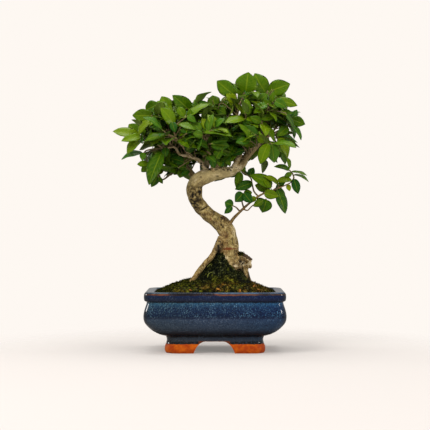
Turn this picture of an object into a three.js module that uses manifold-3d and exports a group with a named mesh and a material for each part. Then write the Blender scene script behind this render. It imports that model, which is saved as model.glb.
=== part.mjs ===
// Chinese privet bonsai in an oblong glazed pot.
// Millimetres, +Z up, +X to the right of the front view, -Y towards its viewer.
// While it is modelled the pot stands centred on the origin; the last group
// moves the middle of the whole plant's footprint there.
import * as THREE from 'three';
import { mergeVertices } from 'three/addons/utils/BufferGeometryUtils.js';
import Module from 'manifold-3d';

const wasm = await Module();
wasm.setup();

// Pot
const POT_HALF_LENGTH = 75.1;
const POT_HALF_DEPTH = 57.5;
const POT_DEPTH_PER_LENGTH = 0.65;
const POT_CORNER = 13;
const POT_CORNER_STEPS = 3;
const RIM_TOP = 64.7;
const RIM_INNER_HALF_LENGTH = 64;
const RIM_INNER_HALF_DEPTH = 47;
const CAVITY_CORNER = 7;
const UNDERSIDE = 12.5;
const POT_FLOOR = 18.5;
const RECESS_HALF_LENGTH = 42.5;
const RECESS_HALF_DEPTH = 33;
const RECESS_CORNER = 1.5;
const RECESS_CORNER_STEPS = 1;
const DRAIN_RADIUS = 6.5;
const DRAIN_SPACING = 25;
const DRAIN_SIDES = 12;
const CUT_PAST = 1;

// Half length of the pot at each height, from the feet to the rim
const POT_PROFILE = [
  [51.5, 0], [53.2, 4], [51.6, 10.4], [51.2, 15.4], [52.4, 17.9], [55.9, 18.8],
  [61, 20.9], [67.5, 25.2], [73.6, 32.2], [POT_HALF_LENGTH, 38.5], [74.3, 44.8],
  [72.5, 50.6], [72, 54.4], [74.1, 55.8], [74.6, 59], [74.2, 62.8], [73.1, 64.1],
  [71.6, RIM_TOP],
];

// Half length, half depth and height of the hollow, from its floor to past the rim
const CAVITY_PROFILE = [
  [50, 33, POT_FLOOR], [60, 41.5, 23.5], [67.5, 48, 33.5], [68.5, 49, 41], [66.5, 48, 51],
  [RIM_INNER_HALF_LENGTH, RIM_INNER_HALF_DEPTH, 62],
  [RIM_INNER_HALF_LENGTH + 0.4, RIM_INNER_HALF_DEPTH + 0.4, RIM_TOP + CUT_PAST],
];

// Arch between the feet: half width at the table, half width at its top, middle
const FRONT_ARCH = { foot: 21.7, crown: 9.65, middle: -0.8 };
const SIDE_ARCH = { foot: 15, crown: 6.5, middle: 0 };
const ARCH_FLARE = 0.6;
const ARCH_BULGE = 2;
const ARCH_SHOULDER = 1;
const ARCH_SEGMENTS = 4;

// Mound of soil under moss
const GAP = 0.3;
const ROOT_GAP = 0.5;
const ROOT_TOLERANCE = 0.1;
const MOUND_CENTRE = new THREE.Vector2(9, 0);
const MOUND_EDGE = 62;
const MOUND_RISE = 17.5;
const ROOT_CONE_CENTRE = new THREE.Vector2(7, -2);
const ROOT_CONE_TOP = 112;
const ROOT_CONE_SLOPE = 1.22;
const MOSS_THICKNESS = 3;
const MOSS_WAVE = 0.8;
const WAVE_ACROSS = { pace: 0.31, start: 1.3 };
const WAVE_DEEP = { pace: 0.27, start: 0.4 };
const MOUND_RINGS = [0.12, 0.28, 0.45, 0.65, 0.84, 1];
const MOUND_CORNER_STEPS = 2;
const MOUND_SPACING = 24;

// Trunk, from below the soil to its end in the right of the crown: x, y, z, radius
const TRUNK = [
  [18, -4, 60, 12], [18, -4, 76, 12], [17.5, -5, 88, 11.2], [16.7, -4, 99, 9.2],
  [16.5, -2, 110, 8.9], [14, 2, 124, 9.3], [9.6, 4, 133, 9], [-1.8, 5, 142, 8.1],
  [-12.3, 6, 151, 7.5], [-19.2, 4, 159.5, 8], [-22.2, 0, 169, 8.1],
  [-21.3, -4, 178, 8], [-17.4, -6, 183.6, 8], [-10, -6, 187.2, 7.8],
  [-0.2, -4, 189.6, 7], [9.6, -1, 191.2, 6.1], [19.4, 2, 193.2, 5.5],
  [28.4, 5, 199.5, 4.4], [33, 6, 206.5, 3.8], [43.6, 8, 221, 2.7],
  [52.3, 8, 227.6, 2], [62.4, 7, 233.3, 1.4], [69, 6, 237, 1],
];
const TRUNK_SIDES = 11;
const TRUNK_FLUTING = 0.06;
const FLUTES = 3;
const FLUTE_TWIST = 0.4;

// Roots that stand clear of the mound and dive into it
const ROOTS = [
  [[6, -4, 122, 3], [3, -8, 114, 3.2], [-3, -12, 102, 2.8], [-11, -15, 93, 2.6],
    [-22.7, -20, 78, 2.7], [-29, -23, 66, 2]],
  [[9, -2, 106, 4], [0, -3, 97, 3.2], [-12, -2, 85, 2.8], [-24, -1, 70, 2.4]],
  [[20, -4, 100, 8], [29, -3, 98, 6.8], [35, -2, 97.5, 5.6], [39.5, -1, 96, 4.4]],
  [[30, -4, 96, 4], [33, -5, 89, 2.8], [33, -6, 80, 2.6], [33, -8, 66, 2.4]],
  [[14, 4, 102, 6], [8, 14, 92, 4.8], [2, 25, 78, 3.8], [-3, 32, 66, 3]],
  [[22, 3, 102, 6], [29, 13, 92, 4.8], [35, 23, 78, 3.6], [39, 29, 66, 3]],
];

// Limbs and bare twigs, each from inside the wood that carries it
const LIMBS = {
  left: [[-12, -2, 188, 3.6], [-11, -5, 196, 3.2], [-17, -8, 204, 3], [-22, -9, 206.5, 2.6],
    [-30, -10, 209, 2.3], [-38, -11, 210.5, 2], [-42, -11, 217, 1.9], [-48, -12, 221, 1.6],
    [-48.5, -12, 230, 1.4], [-50, -12, 240, 1.1], [-51, -12, 246, 0.9]],
  leftFork: [[-45, -11.5, 219, 1.4], [-52, -13, 217, 1.3], [-57, -14, 217.5, 1.2],
    [-63, -15, 223, 1.1], [-72, -16, 227.5, 0.9]],
  leftTwig: [[-49, -12, 234, 1.1], [-57, -13, 241, 1], [-62, -14, 245, 0.9]],
  leftShoot: [[-29, -10, 208.5, 1.1], [-30, -10, 213, 1], [-28, -11, 218, 0.9],
    [-31, -12, 226, 0.8]],
  lowLeft: [[-20, 2, 182, 1.8], [-25, 6, 187, 1.5], [-31, 9, 193.5, 1.3], [-42, 12, 194, 1.2],
    [-48, 13, 190, 1.1], [-57, 15, 184, 1], [-62, 17, 187, 0.9]],
  upperLeft: [[-12, -2, 189, 3.6], [-8, 2, 205, 3], [-10, 3, 220, 2.6], [-16, 4, 237, 2.1],
    [-23, 5, 249, 1.5], [-25, 5, 254, 1.1]],
  backUpperLeft: [[-9.5, 3, 214, 2.4], [-20, 14, 228, 2], [-36, 22, 240, 1.6],
    [-50, 26, 249, 1.2], [-60, 28, 254, 0.9]],
  centre: [[0, -3, 190, 3.2], [4, -2, 206, 2.8], [6, 2, 222, 2.3], [4, 4, 240, 1.8],
    [0, 5, 253, 1.3], [-1, 5, 258, 1]],
  crown: [[17, 1, 192, 3.4], [25, 0, 206, 2.9], [27, -2, 216, 2.6], [25, -2, 237, 2.1],
    [24, 0, 255, 1.6], [29, 1, 270, 1.1]],
  rightUp: [[37, 7, 213, 2.4], [44, 4, 230, 2], [50, 2, 248, 1.6], [54, 0, 262, 1.2],
    [56, 1, 270, 0.9]],
  rightFront: [[26, -2, 228, 2.1], [38, -8, 240, 1.8], [50, -14, 250, 1.3], [58, -17, 257, 1]],
  backRightUp: [[43, 8, 220, 2.2], [53, 18, 229, 1.8], [63, 27, 237, 1.4], [70, 32, 245, 1]],
  front: [[-2, -5, 189, 2.8], [-3, -16, 200, 2.3], [-6, -27, 211, 1.8], [-10, -36, 221, 1.3],
    [-12, -40, 227, 1]],
  back: [[8, 0, 191, 3], [6, 12, 204, 2.6], [4, 24, 218, 2.1], [2, 35, 232, 1.6],
    [0, 41, 241, 1.1]],
  backRight: [[22, 3, 195, 2.6], [30, 14, 206, 2.2], [38, 25, 218, 1.7], [45, 34, 229, 1.2],
    [49, 38, 236, 0.9]],
  backLeft: [[-19, -1, 184, 2.8], [-26, 10, 194, 2.3], [-36, 21, 205, 1.8], [-47, 30, 215, 1.3],
    [-55, 35, 222, 0.9]],
  frontLeft: [[-24, -9.5, 207, 1.9], [-31, -20, 215, 1.6], [-38, -31, 223, 1.2],
    [-42, -37, 228, 0.9]],
  frontRight: [[28, 5, 199, 2.2], [34, -8, 206, 1.8], [42, -21, 214, 1.4], [50, -32, 222, 1]],
  trunkShoot: [[50, 8, 226, 1.4], [49, 4, 231, 1.1], [47, 2, 236, 0.9]],
  lowRight: [[16, -1, 136, 2.8], [20, -3, 142, 2.3], [24, -3, 146, 2.1], [30, -4, 152, 1.9],
    [38, -5, 159, 1.7], [49, -7, 167, 1.5], [62, -8, 172, 1.3], [78, -9, 178.5, 1],
    [83, -10, 181.5, 0.9]],
  lowRightFork: [[30, -4, 152, 1.1], [35, -6, 150.5, 1], [39, -8, 154.5, 0.9],
    [43, -9, 157.5, 0.9]],
};
const LIMB_SIDES = 5;
const ROOT_SIDES = 6;

// Leafy sprays. A spray's twig runs through points x, y, z. A leaf that the front
// view shows is base x, base z, tip x, tip z, width seen, depth y, tip's change of
// depth. Pairs is how many pairs of leaves the twig carries besides.
const SPRAYS = [
  { name: 'left_tip', twig: [[-60, -13.7, 243.5], [-65, -14.5, 249], [-70, -15, 254]], pairs: 0,
    leaves: [[-67, 252, -88.5, 252, 12, -15, 0], [-74, 258, -60, 265, 12, -13, 3],
      [-59.5, 253, -67, 259, 3, -20, -3], [-63, 242, -75, 239.5, 7, -18, -2]] },
  { name: 'left_outer', twig: [[-70, -15.8, 226.5], [-77, -17, 229.5], [-83, -17, 231]], pairs: 0,
    leaves: [[-80, 229, -109, 235, 10, -17, -4], [-80, 231, -92.5, 243, 12, -16, 4],
      [-79, 229, -99.5, 224, 8, -19, -6], [-77, 231, -77, 244, 7, -13, 4],
      [-76, 228, -94, 210, 9, -20, -3], [-74, 228, -63, 225, 5, -22, -2]] },
  { name: 'left_low', pairs: 0,
    twig: [[-55, -13.6, 217.2], [-66, -16, 216], [-75, -17, 213], [-73, -18, 205], [-71.5, -18, 199]],
    leaves: [[-77, 211, -100, 205, 3, -18, -2], [-76, 212, -77, 203, 6, -22, -2],
      [-71.5, 200, -83, 199.5, 6, -19, -2], [-72, 198, -79, 191.5, 6, -15, 2],
      [-64, 219, -67, 226, 5, -21, -2]] },
  { name: 'left_droop', twig: [[-45, -11.6, 219.2], [-50, -17, 218.5], [-55, -22, 214]], pairs: 0,
    leaves: [[-56, 213, -70.5, 177.5, 14, -25, -6], [-53, 217, -52, 207, 7, -26, -3]] },
  { name: 'left_back_low', twig: [[-60, 16, 185.6], [-63, 18, 189], [-66, 19, 191.5]], pairs: 0,
    leaves: [[-61, 190, -70, 176, 8, 20, 3], [-63, 190, -57, 198, 6, 22, 3],
      [-61, 187, -57, 179.5, 4, 13, 0], [-66, 191, -75, 196, 8, 20, 4]] },
  { name: 'left_mid', twig: [[-50.5, -12, 243], [-54, -15, 247], [-56, -19, 251]], pairs: 1,
    leaves: [[-54, 250, -42, 254, 5, -21, -3], [-55, 247, -63, 233, 8, -22, -4]] },
  { name: 'left_upright', twig: [[-48, 25.5, 248], [-51, 17, 252], [-51.4, 9.5, 256.6]], pairs: 1,
    leaves: [[-50, 257, -58, 274.5, 13, 6, 2], [-51, 256, -68, 260, 9, 6, 2]] },
  { name: 'left_big', twig: [[-24.5, 5, 252.5], [-25, 3, 258], [-21, 1, 262]], pairs: 1,
    leaves: [[-26, 257, -46, 275, 14, 3, -3], [-24, 260, -9, 257.5, 8, -2, -6],
      [-20.5, 262, -15.5, 272, 9, 4, 3]] },
  { name: 'left_inner', pairs: 1,
    twig: [[-41.5, -36, 227.5], [-43, -38, 236], [-38, -38, 243], [-30, -36, 249]],
    leaves: [[-45, 243, -42, 232, 7, -42, -3], [-38, 241, -20, 235, 6, -42, -3],
      [-29, 250, -20, 243, 6, -38, -3], [-32, 250, -39, 260, 8, -34, 2]] },
  { name: 'left_shoot', twig: [[-30.5, -12, 225], [-33, -15, 231], [-33, -18, 236]], pairs: 1,
    leaves: [[-32, 232, -22, 227, 6, -20, -3], [-33, 236, -30, 246, 8, -18, 2]] },
  { name: 'left_hanging', twig: [[-37, 10.6, 194.3], [-36, 5, 195.5], [-36, 0, 194]], pairs: 0,
    leaves: [[-35.5, 194, -38, 185.5, 8, -1, -1], [-37, 194, -45, 189, 4, 2, 0]] },
  { name: 'mid_arch', twig: [[-11, -38.5, 224.5], [-13, -41, 229], [-14, -42, 234]], pairs: 0,
    leaves: [[-12, 232, 19, 228, 6, -44, -4], [-13, 226, 15, 226.5, 4, -36, 2],
      [-13, 229, -23, 231, 8, -46, -3], [-15, 234, -24, 243, 9, -38, 4]] },
  { name: 'mid_upper', twig: [[-15, 3.8, 234.5], [-15, -8, 243], [-13, -16, 249]], pairs: 1,
    leaves: [[-13, 249.5, 13, 242, 6, -18, -6], [-14, 249, -4, 257, 8, -16, 3]] },
  { name: 'mid_low', twig: [[-8.4, 2.2, 208], [-12, -6, 213], [-15, -11, 219]], pairs: 0,
    leaves: [[-15.5, 219, -11, 208, 6, -14, -3], [-9, 210, -4, 198.5, 4, -9, -3],
      [-15, 219, -24, 224, 8, -14, -2]] },
  { name: 'front_low', twig: [[4.4, -1.6, 208], [5, -8, 211], [5, -13, 213]], pairs: 0,
    leaves: [[4.5, 210.5, 5, 197, 8, -16, -3], [6, 213, 14, 222, 7, -14, 2]] },
  { name: 'front_right_low', twig: [[25.8, -0.7, 210], [21, -8, 213], [17, -11, 215.5]], pairs: 0,
    leaves: [[18, 214, 17, 202.5, 8, -14, -3], [16, 216, 9, 224, 7, -13, 2]] },
  { name: 'top_mid', twig: [[-0.5, 5, 256], [-1, 3, 260], [1, 1, 264]], pairs: 0,
    leaves: [[0, 263, -3, 275, 12, 0, 2], [2, 261, 14, 267, 10, 4, 4],
      [1, 260, 12, 254, 9, -4, -5]] },
  { name: 'top_left', twig: [[24.4, 0, 259], [22, -5, 266], [20, -7, 273]], pairs: 0,
    leaves: [[20, 275, 2, 289.5, 13, -8, -2], [22, 266, 12, 275, 9, -12, -3]] },
  { name: 'top_crown', twig: [[28.5, 1, 268], [31, 2, 276], [34, 2, 281]], pairs: 0,
    leaves: [[33, 278, 36, 299.5, 19, 0, -3], [30, 276, 24, 289, 9, 7, 4]] },
  { name: 'top_right', twig: [[55.8, 1, 269], [56, 2, 275], [57, 2, 280]], pairs: 0,
    leaves: [[55, 278, 43, 299.5, 14, 4, 3], [58, 279, 81, 287, 14, 0, -3]] },
  { name: 'top_facing', twig: [[53.4, 0.2, 260], [49, -7, 263], [45, -11, 265]], pairs: 0,
    leaves: [[45, 266, 33, 276.5, 9, -12, -2], [46, 265, 56, 275, 10, -14, -3],
      [46, 262, 57, 254, 5, -16, -4]] },
  { name: 'right_stalk', twig: [[56.6, -16.5, 255.8], [60, -18, 263], [66, -18, 269]], pairs: 0,
    leaves: [[67, 268.5, 88, 262, 9, -18, -3], [61, 266, 62, 277, 5, -21, -1],
      [64, 267, 76, 260, 9, -22, -4], [60, 263, 49, 268, 7, -20, 3]] },
  { name: 'right_arched', pairs: 0,
    twig: [[67, 6.2, 236], [76, 2, 240], [82, 0, 244], [84, -1, 249]],
    leaves: [[82, 243, 63, 270, 5, -5, -4], [83, 249, 97, 243, 10, -3, -3],
      [83, 242, 86, 227.5, 4, 4, 0], [82, 242, 93, 226, 5, -5, -2],
      [77, 241, 61, 247, 4, -10, -6], [78, 240, 66, 229.5, 9, -9, -6],
      [84, 249, 89, 260, 6, 4, 3]] },
  { name: 'right_inner', twig: [[49, 2.3, 245], [60, -2, 251], [70, -6, 255]], pairs: 1,
    leaves: [[69, 254, 57, 262.5, 8, -10, -4], [71, 255.5, 83, 254, 5, -8, -3],
      [62, 251, 48, 247, 7, -12, -5]] },
  { name: 'right_glossy', twig: [[47, -12.8, 247.6], [49, -20, 247], [50, -26, 243]], pairs: 1,
    leaves: [[49, 244, 37, 249.5, 8, -28, -4]] },
  { name: 'right_front', twig: [[48.5, -30, 220.5], [53, -34, 222], [59, -36, 221]], pairs: 1,
    leaves: [[56, 220.5, 47.5, 199, 11, -38, -3], [60, 220, 62.5, 200.5, 12, -36, 0],
      [53, 223, 44, 228, 8, -36, -2]] },
  { name: 'right_side', twig: [[63, 6.9, 233.7], [68, 1, 229], [72, -3, 220], [77, -5, 208]],
    pairs: 0,
    leaves: [[68, 228, 78, 206.5, 9, -13, -3], [72, 219, 70, 207, 5, 2, 3],
      [77.5, 207, 80, 194.5, 4, -6, -1], [70, 225, 84, 221, 8, 0, 2]] },
  { name: 'right_mid', twig: [[48, 3, 233.5], [42, -5, 235], [35, -10, 233]], pairs: 1,
    leaves: [[34, 232.5, 23, 222, 8, -14, -3], [40, 235, 42, 224, 7, -12, -3]] },
  { name: 'low_first', twig: [[27, -3.5, 149], [23, -6, 153.5], [19, -7, 155.5]], pairs: 0,
    leaves: [[18, 155, 10, 147, 6, -9, -2], [19.5, 156, 10.5, 159.5, 9, -7, 1]] },
  { name: 'low_second', twig: [[31, -4.1, 153], [29, -8, 160], [29.5, -9, 167]], pairs: 0,
    leaves: [[30, 169, 21.5, 159.5, 10, -11, -3], [31, 169, 39.5, 158.5, 9, -13, -3],
      [31, 168, 40, 170, 7, -7, 2]] },
  { name: 'low_third', pairs: 0,
    twig: [[46.5, -6.5, 165.5], [42, -4, 171], [40, -2, 179], [38, -1, 186], [28, 0, 193]],
    leaves: [[40, 180, 21.5, 173, 9, -5, -4], [27, 192, 23, 174, 8, -2, -3],
      [30, 192, 30, 200, 6, 2, 3], [37, 187, 42, 197, 7, 2, 3]] },
  { name: 'low_big', twig: [[51, -7.2, 168], [56, -9, 172.5], [61, -10, 176.5]], pairs: 0,
    leaves: [[61, 176.5, 37, 188.5, 11, -11, -4], [53, 169.5, 68, 165.5, 9, -15, -4],
      [59, 174, 43, 178, 9, -4, 4]] },
  { name: 'low_round', twig: [[42, -8.8, 157], [48, -10, 160.5], [55, -11, 162.5]], pairs: 0,
    leaves: [[55, 162, 50.5, 148, 13, -13, -2], [51, 161, 41, 154.5, 7, -14, -2]] },
  { name: 'low_striped', twig: [[64, -8.2, 172.8], [67, -9, 174], [68.5, -10, 178.5]], pairs: 0,
    leaves: [[67, 172.5, 75.5, 147, 10, -12, -4], [68, 175, 75, 162, 6, -5, 3],
      [67.5, 178.5, 52, 187, 5, -14, -2]] },
  { name: 'low_tip', pairs: 0,
    twig: [[81.5, -9.7, 180.6], [84.5, -10, 185], [83, -10, 190], [79, -10, 194.5]],
    leaves: [[82, 183, 65, 181, 6, -14, -3], [84.5, 184, 89, 168, 8, -12, -2],
      [82, 192, 99, 188, 3, -10, -3], [84.5, 188.5, 101, 181, 3, -8, -2],
      [79.5, 193.5, 63, 197.5, 5, -12, -1], [82, 190, 74, 187, 5, -14, -3]] },
  { name: 'back_top', twig: [[0.4, 40, 239.5], [-4, 45, 244], [-7, 47, 249]], pairs: 2 },
  { name: 'back_centre_left', twig: [[4, 24, 218], [-9, 32, 226], [-19, 38, 232]], pairs: 2 },
  { name: 'back_centre_right', twig: [[2.4, 33, 229.5], [13, 42, 233], [23, 46, 238]], pairs: 2 },
  { name: 'back_low', twig: [[5.2, 17, 209.5], [12, 28, 210], [15, 38, 214]], pairs: 2 },
  { name: 'back_right_end', twig: [[48, 37, 234.5], [55, 41, 243], [59, 42, 251]], pairs: 2 },
  { name: 'back_right_low', twig: [[37, 24, 216.5], [48, 28, 216], [58, 31, 219]], pairs: 2 },
  { name: 'back_left_end', twig: [[-53, 34, 220.3], [-63, 37, 227], [-71, 37, 234]], pairs: 2 },
  { name: 'back_left_low', twig: [[-37, 22, 206], [-50, 24, 206], [-61, 25, 209]], pairs: 2 },
  { name: 'back_left_deep', twig: [[-46, 29.5, 214], [-42, 40, 222], [-38, 45, 229]], pairs: 2 },
  { name: 'far_right_end', twig: [[68, 30.8, 242.8], [72, 34, 248], [73, 35, 255]], pairs: 2 },
  { name: 'far_right_low', twig: [[60, 24.4, 234.7], [65, 20, 229], [67, 16, 222]], pairs: 2 },
  { name: 'far_left_end', twig: [[-57, 27.4, 252.6], [-64, 28, 251], [-69, 26, 247]], pairs: 2 },
  { name: 'back_left_under', twig: [[-30, 14, 199], [-30, 22, 202], [-32, 29, 203]], pairs: 2 },
  { name: 'back_mid_left', twig: [[5, 18, 211], [-4, 25, 211], [-11, 28, 214]], pairs: 2 },
  { name: 'back_upper_left', twig: [[-34, 21.2, 239], [-33, 33, 247], [-31, 40, 255]], pairs: 2 },
  { name: 'back_crown', twig: [[26, 0.4, 262], [24, 14, 270], [23, 22, 277]], pairs: 2 },
  { name: 'back_centre_top', twig: [[3, 4.2, 243.5], [10, 18, 253], [12, 27, 261]], pairs: 2 },
  { name: 'right_back_top', twig: [[51.4, 1.3, 253], [61, 14, 260], [66, 22, 267]], pairs: 2 },
  { name: 'front_left_low', twig: [[-36, -28, 220.6], [-46, -36, 227], [-54, -40, 234]],
    pairs: 2 },
  { name: 'front_right_top', twig: [[36, -7, 238], [34, -20, 245], [32, -29, 253]], pairs: 2 },
];

// Leaf blade
const BLADE_THICKNESS = 0.76;
const STALK_HALF_WIDTH = 0.3;
const SHORT_STALK = 3.2;
const SLENDER_SHARE = 0.42;
const FOLD = 0.22;
const ARCH = 0.07;
const WIDE_LEAF = 10.5;
const WIDE_ROWS = [[0.2, 0.8], [0.5, 1], [0.8, 0.74]];
const BLADE_ROWS = [[0.25, 0.88], [0.7, 0.9]];
const SMALL_LEAF = 6.5;
const SMALL_ROWS = [[0.5, 1]];

// Leaves in pairs, placed by rule along a twig
const PAIR_LENGTH = [19, 8];
const PAIR_WIDTH = [0.5, 0.08];
const PAIR_LEAN = [0.95, 0.3];
const PAIR_TURN = [0.4, 0.7];
const PAIR_STALK = 2.5;
const PAIR_START = 0.42;
const PAIR_DROOP = 0.18;
const TIP_LEAN = 0.4;
const DRAWS_EACH = 7;
const CROWN_CENTRE = new THREE.Vector3(-6, 0, 212);
const FACE_OUTWARD = 0.7;
const FACE_UP = 0.75;
const FACE_FRONT = 0.25;

// Clear space kept round a blade, and the other places tried where one is in the way
const LEAF_CLEARANCE = 0.35;
const OUTER_START = 0.1;
const OUTER_WIDTH = 0.9;
const DEPTH_TRIES = [0, -4, 4, -8, 8, -12, 12];
const TURN_TRIES = [0, 0.5, -0.5, 1, -1, 1.5, -1.5];

// Owner number of the wood and the moss, which are no spray's own
const GROUND = -1;

// Edges shorter than this are closed up
const SLIVER = 0.03;

const TWIG_SIDES = 3;
const TWIG_RADIUS = [1.1, 0.85];
const TWIG_STEPS = 40;

const WELD = 1e-4;

// The same seed and number always give the same draw between 0 and 1
function chance(seed, number) {
  const value = Math.sin(seed * 12.9898 + number * 78.233) * 43758.5453;
  return value - Math.floor(value);
}

const between = ([least, spread], share) => least + spread * share;

const point = ([x, y, z]) => new THREE.Vector3(x, y, z);

function closedBody(geometry) {
  const bare = new THREE.BufferGeometry();
  bare.setAttribute('position', geometry.getAttribute('position'));
  bare.setIndex(geometry.index);
  const welded = mergeVertices(bare, WELD);
  return new wasm.Manifold(new wasm.Mesh({
    numProp: 3,
    vertProperties: new Float32Array(welded.getAttribute('position').array),
    triVerts: new Uint32Array(welded.index.array),
  }));
}

function bodyOf(points, index) {
  const geometry = new THREE.BufferGeometry();
  geometry.setAttribute('position', new THREE.Float32BufferAttribute(
    points.flatMap((p) => [p.x, p.y, p.z]), 3));
  geometry.setIndex(index);
  return closedBody(geometry);
}

// Skins rings of equal count, each counter-clockwise seen from the next ring. The
// diagonals lean the other way when asked, to match a skin that runs the other way.
function skin(rings, leanBack = false) {
  const count = rings[0].length;
  const last = (rings.length - 1) * count;
  const index = [];
  for (let ring = 0; ring < rings.length - 1; ring += 1) {
    for (let i = 0; i < count; i += 1) {
      const near = ring * count + i;
      const nearNext = ring * count + ((i + 1) % count);
      const far = near + count;
      const farNext = nearNext + count;
      if (leanBack) index.push(near, nearNext, far, nearNext, farNext, far);
      else index.push(near, nearNext, farNext, near, farNext, far);
    }
  }
  for (let i = 1; i < count - 1; i += 1) {
    index.push(0, i + 1, i, last, last + i, last + i + 1);
  }
  return bodyOf(rings.flat(), index);
}

function largestPart(body) {
  const parts = body.decompose();
  parts.sort((a, b) => b.volume() - a.volume());
  return parts[0];
}

const joined = (bodies) => wasm.Manifold.union(bodies);

// A rounded rectangle at one height
function roundedRing(halfLength, halfDepth, corner, height, cornerSteps) {
  const ring = [];
  const middles = [[1, 1], [-1, 1], [-1, -1], [1, -1]];
  middles.forEach(([sideX, sideY], quarter) => {
    for (let step = 0; step <= cornerSteps; step += 1) {
      const angle = (quarter + step / cornerSteps) * Math.PI / 2;
      ring.push(new THREE.Vector3(
        sideX * (halfLength - corner) + corner * Math.cos(angle),
        sideY * (halfDepth - corner) + corner * Math.sin(angle),
        height));
    }
  });
  return ring;
}

const potHalfDepth = (halfLength) =>
  POT_HALF_DEPTH - (POT_HALF_LENGTH - halfLength) * POT_DEPTH_PER_LENGTH;

function archCutter({ foot, crown, middle }, reach) {
  const shape = new THREE.Shape();
  shape.moveTo(middle - foot - ARCH_FLARE, -CUT_PAST);
  shape.lineTo(middle + foot + ARCH_FLARE, -CUT_PAST);
  shape.lineTo(middle + foot, 0);
  const bulge = (foot + crown) / 2 + ARCH_BULGE;
  shape.quadraticCurveTo(middle + bulge, UNDERSIDE - ARCH_SHOULDER, middle + crown, UNDERSIDE);
  shape.lineTo(middle - crown, UNDERSIDE);
  shape.quadraticCurveTo(middle - bulge, UNDERSIDE - ARCH_SHOULDER, middle - foot, 0);
  const geometry = new THREE.ExtrudeGeometry(shape,
    { depth: 2 * reach, bevelEnabled: false, curveSegments: ARCH_SEGMENTS });
  geometry.translate(0, 0, -reach);
  geometry.rotateX(Math.PI / 2);
  return geometry;
}

// Glazed pot with four bare clay feet, hollow, with two drain holes
function potBody() {
  const outside = skin(POT_PROFILE.map(([halfLength, height]) => roundedRing(halfLength,
    potHalfDepth(halfLength), POT_CORNER, height, POT_CORNER_STEPS)));
  const hollow = skin(CAVITY_PROFILE.map(([halfLength, halfDepth, height]) => roundedRing(
    halfLength, halfDepth, CAVITY_CORNER, height, POT_CORNER_STEPS)));
  const recess = skin([-CUT_PAST, UNDERSIDE].map((height) => roundedRing(RECESS_HALF_LENGTH,
    RECESS_HALF_DEPTH, RECESS_CORNER, height, RECESS_CORNER_STEPS)));
  const frontArch = archCutter(FRONT_ARCH, POT_HALF_DEPTH);
  const sideArch = archCutter(SIDE_ARCH, POT_HALF_LENGTH);
  sideArch.rotateZ(Math.PI / 2);
  const drains = [-DRAIN_SPACING, DRAIN_SPACING].map((x) => {
    const height = POT_FLOOR - UNDERSIDE + 2 * CUT_PAST;
    const drain = new THREE.CylinderGeometry(DRAIN_RADIUS, DRAIN_RADIUS, height, DRAIN_SIDES);
    drain.rotateX(Math.PI / 2);
    drain.translate(x, 0, (POT_FLOOR + UNDERSIDE) / 2);
    return closedBody(drain);
  });
  return outside.subtract(joined([hollow, recess, closedBody(frontArch),
    closedBody(sideArch), ...drains]));
}

function moundHeight(x, y) {
  const along = Math.max(0, 1 - (x / RIM_INNER_HALF_LENGTH) ** 2);
  const deep = Math.max(0, 1 - (y / RIM_INNER_HALF_DEPTH) ** 2);
  const dome = MOUND_EDGE + MOUND_RISE * along * Math.sqrt(deep);
  const fromTrunk = Math.hypot(x - ROOT_CONE_CENTRE.x, y - ROOT_CONE_CENTRE.y);
  const cone = ROOT_CONE_TOP - ROOT_CONE_SLOPE * fromTrunk;
  const wave = MOSS_WAVE * along * deep * Math.sin(x * WAVE_ACROSS.pace + WAVE_ACROSS.start)
    * Math.cos(y * WAVE_DEEP.pace + WAVE_DEEP.start);
  return Math.max(dome, cone) + wave;
}

// The hollow's outline at one height, with points along its straight sides too
function hollowRing(halfLength, halfDepth, height) {
  const corners = roundedRing(halfLength - GAP, halfDepth - GAP, CAVITY_CORNER, height,
    MOUND_CORNER_STEPS);
  return corners.flatMap((from, i) => {
    const to = corners[(i + 1) % corners.length];
    const side = i % (MOUND_CORNER_STEPS + 1) === MOUND_CORNER_STEPS;
    const along = Math.floor(i / (MOUND_CORNER_STEPS + 1)) % 2 === 0
      ? RIM_INNER_HALF_LENGTH : RIM_INNER_HALF_DEPTH;
    const pieces = side ? Math.ceil(2 * along / MOUND_SPACING) : 1;
    return Array.from({ length: pieces }, (_, k) => from.clone().lerp(to, k / pieces));
  });
}

function moundRing(share, drop) {
  return hollowRing(RIM_INNER_HALF_LENGTH, RIM_INNER_HALF_DEPTH, 0).map((p) => {
    const x = MOUND_CENTRE.x + share * (p.x - MOUND_CENTRE.x);
    const y = MOUND_CENTRE.y + share * (p.y - MOUND_CENTRE.y);
    return new THREE.Vector3(x, y, moundHeight(x, y) - drop);
  });
}

function mossBody() {
  const under = MOUND_RINGS.map((share) => moundRing(share, MOSS_THICKNESS));
  const over = MOUND_RINGS.map((share) => moundRing(share, 0)).reverse();
  return skin([...under, ...over]);
}

function soilBody() {
  const inside = CAVITY_PROFILE.filter(([, , height]) => height < MOUND_EDGE - MOSS_THICKNESS)
    .map(([halfLength, halfDepth, height]) => hollowRing(halfLength, halfDepth, height));
  inside[0].forEach((p) => { p.z += GAP; });
  const top = MOUND_RINGS.map((share) => moundRing(share, MOSS_THICKNESS + GAP)).reverse();
  return skin([...inside, ...top], true);
}

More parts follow.
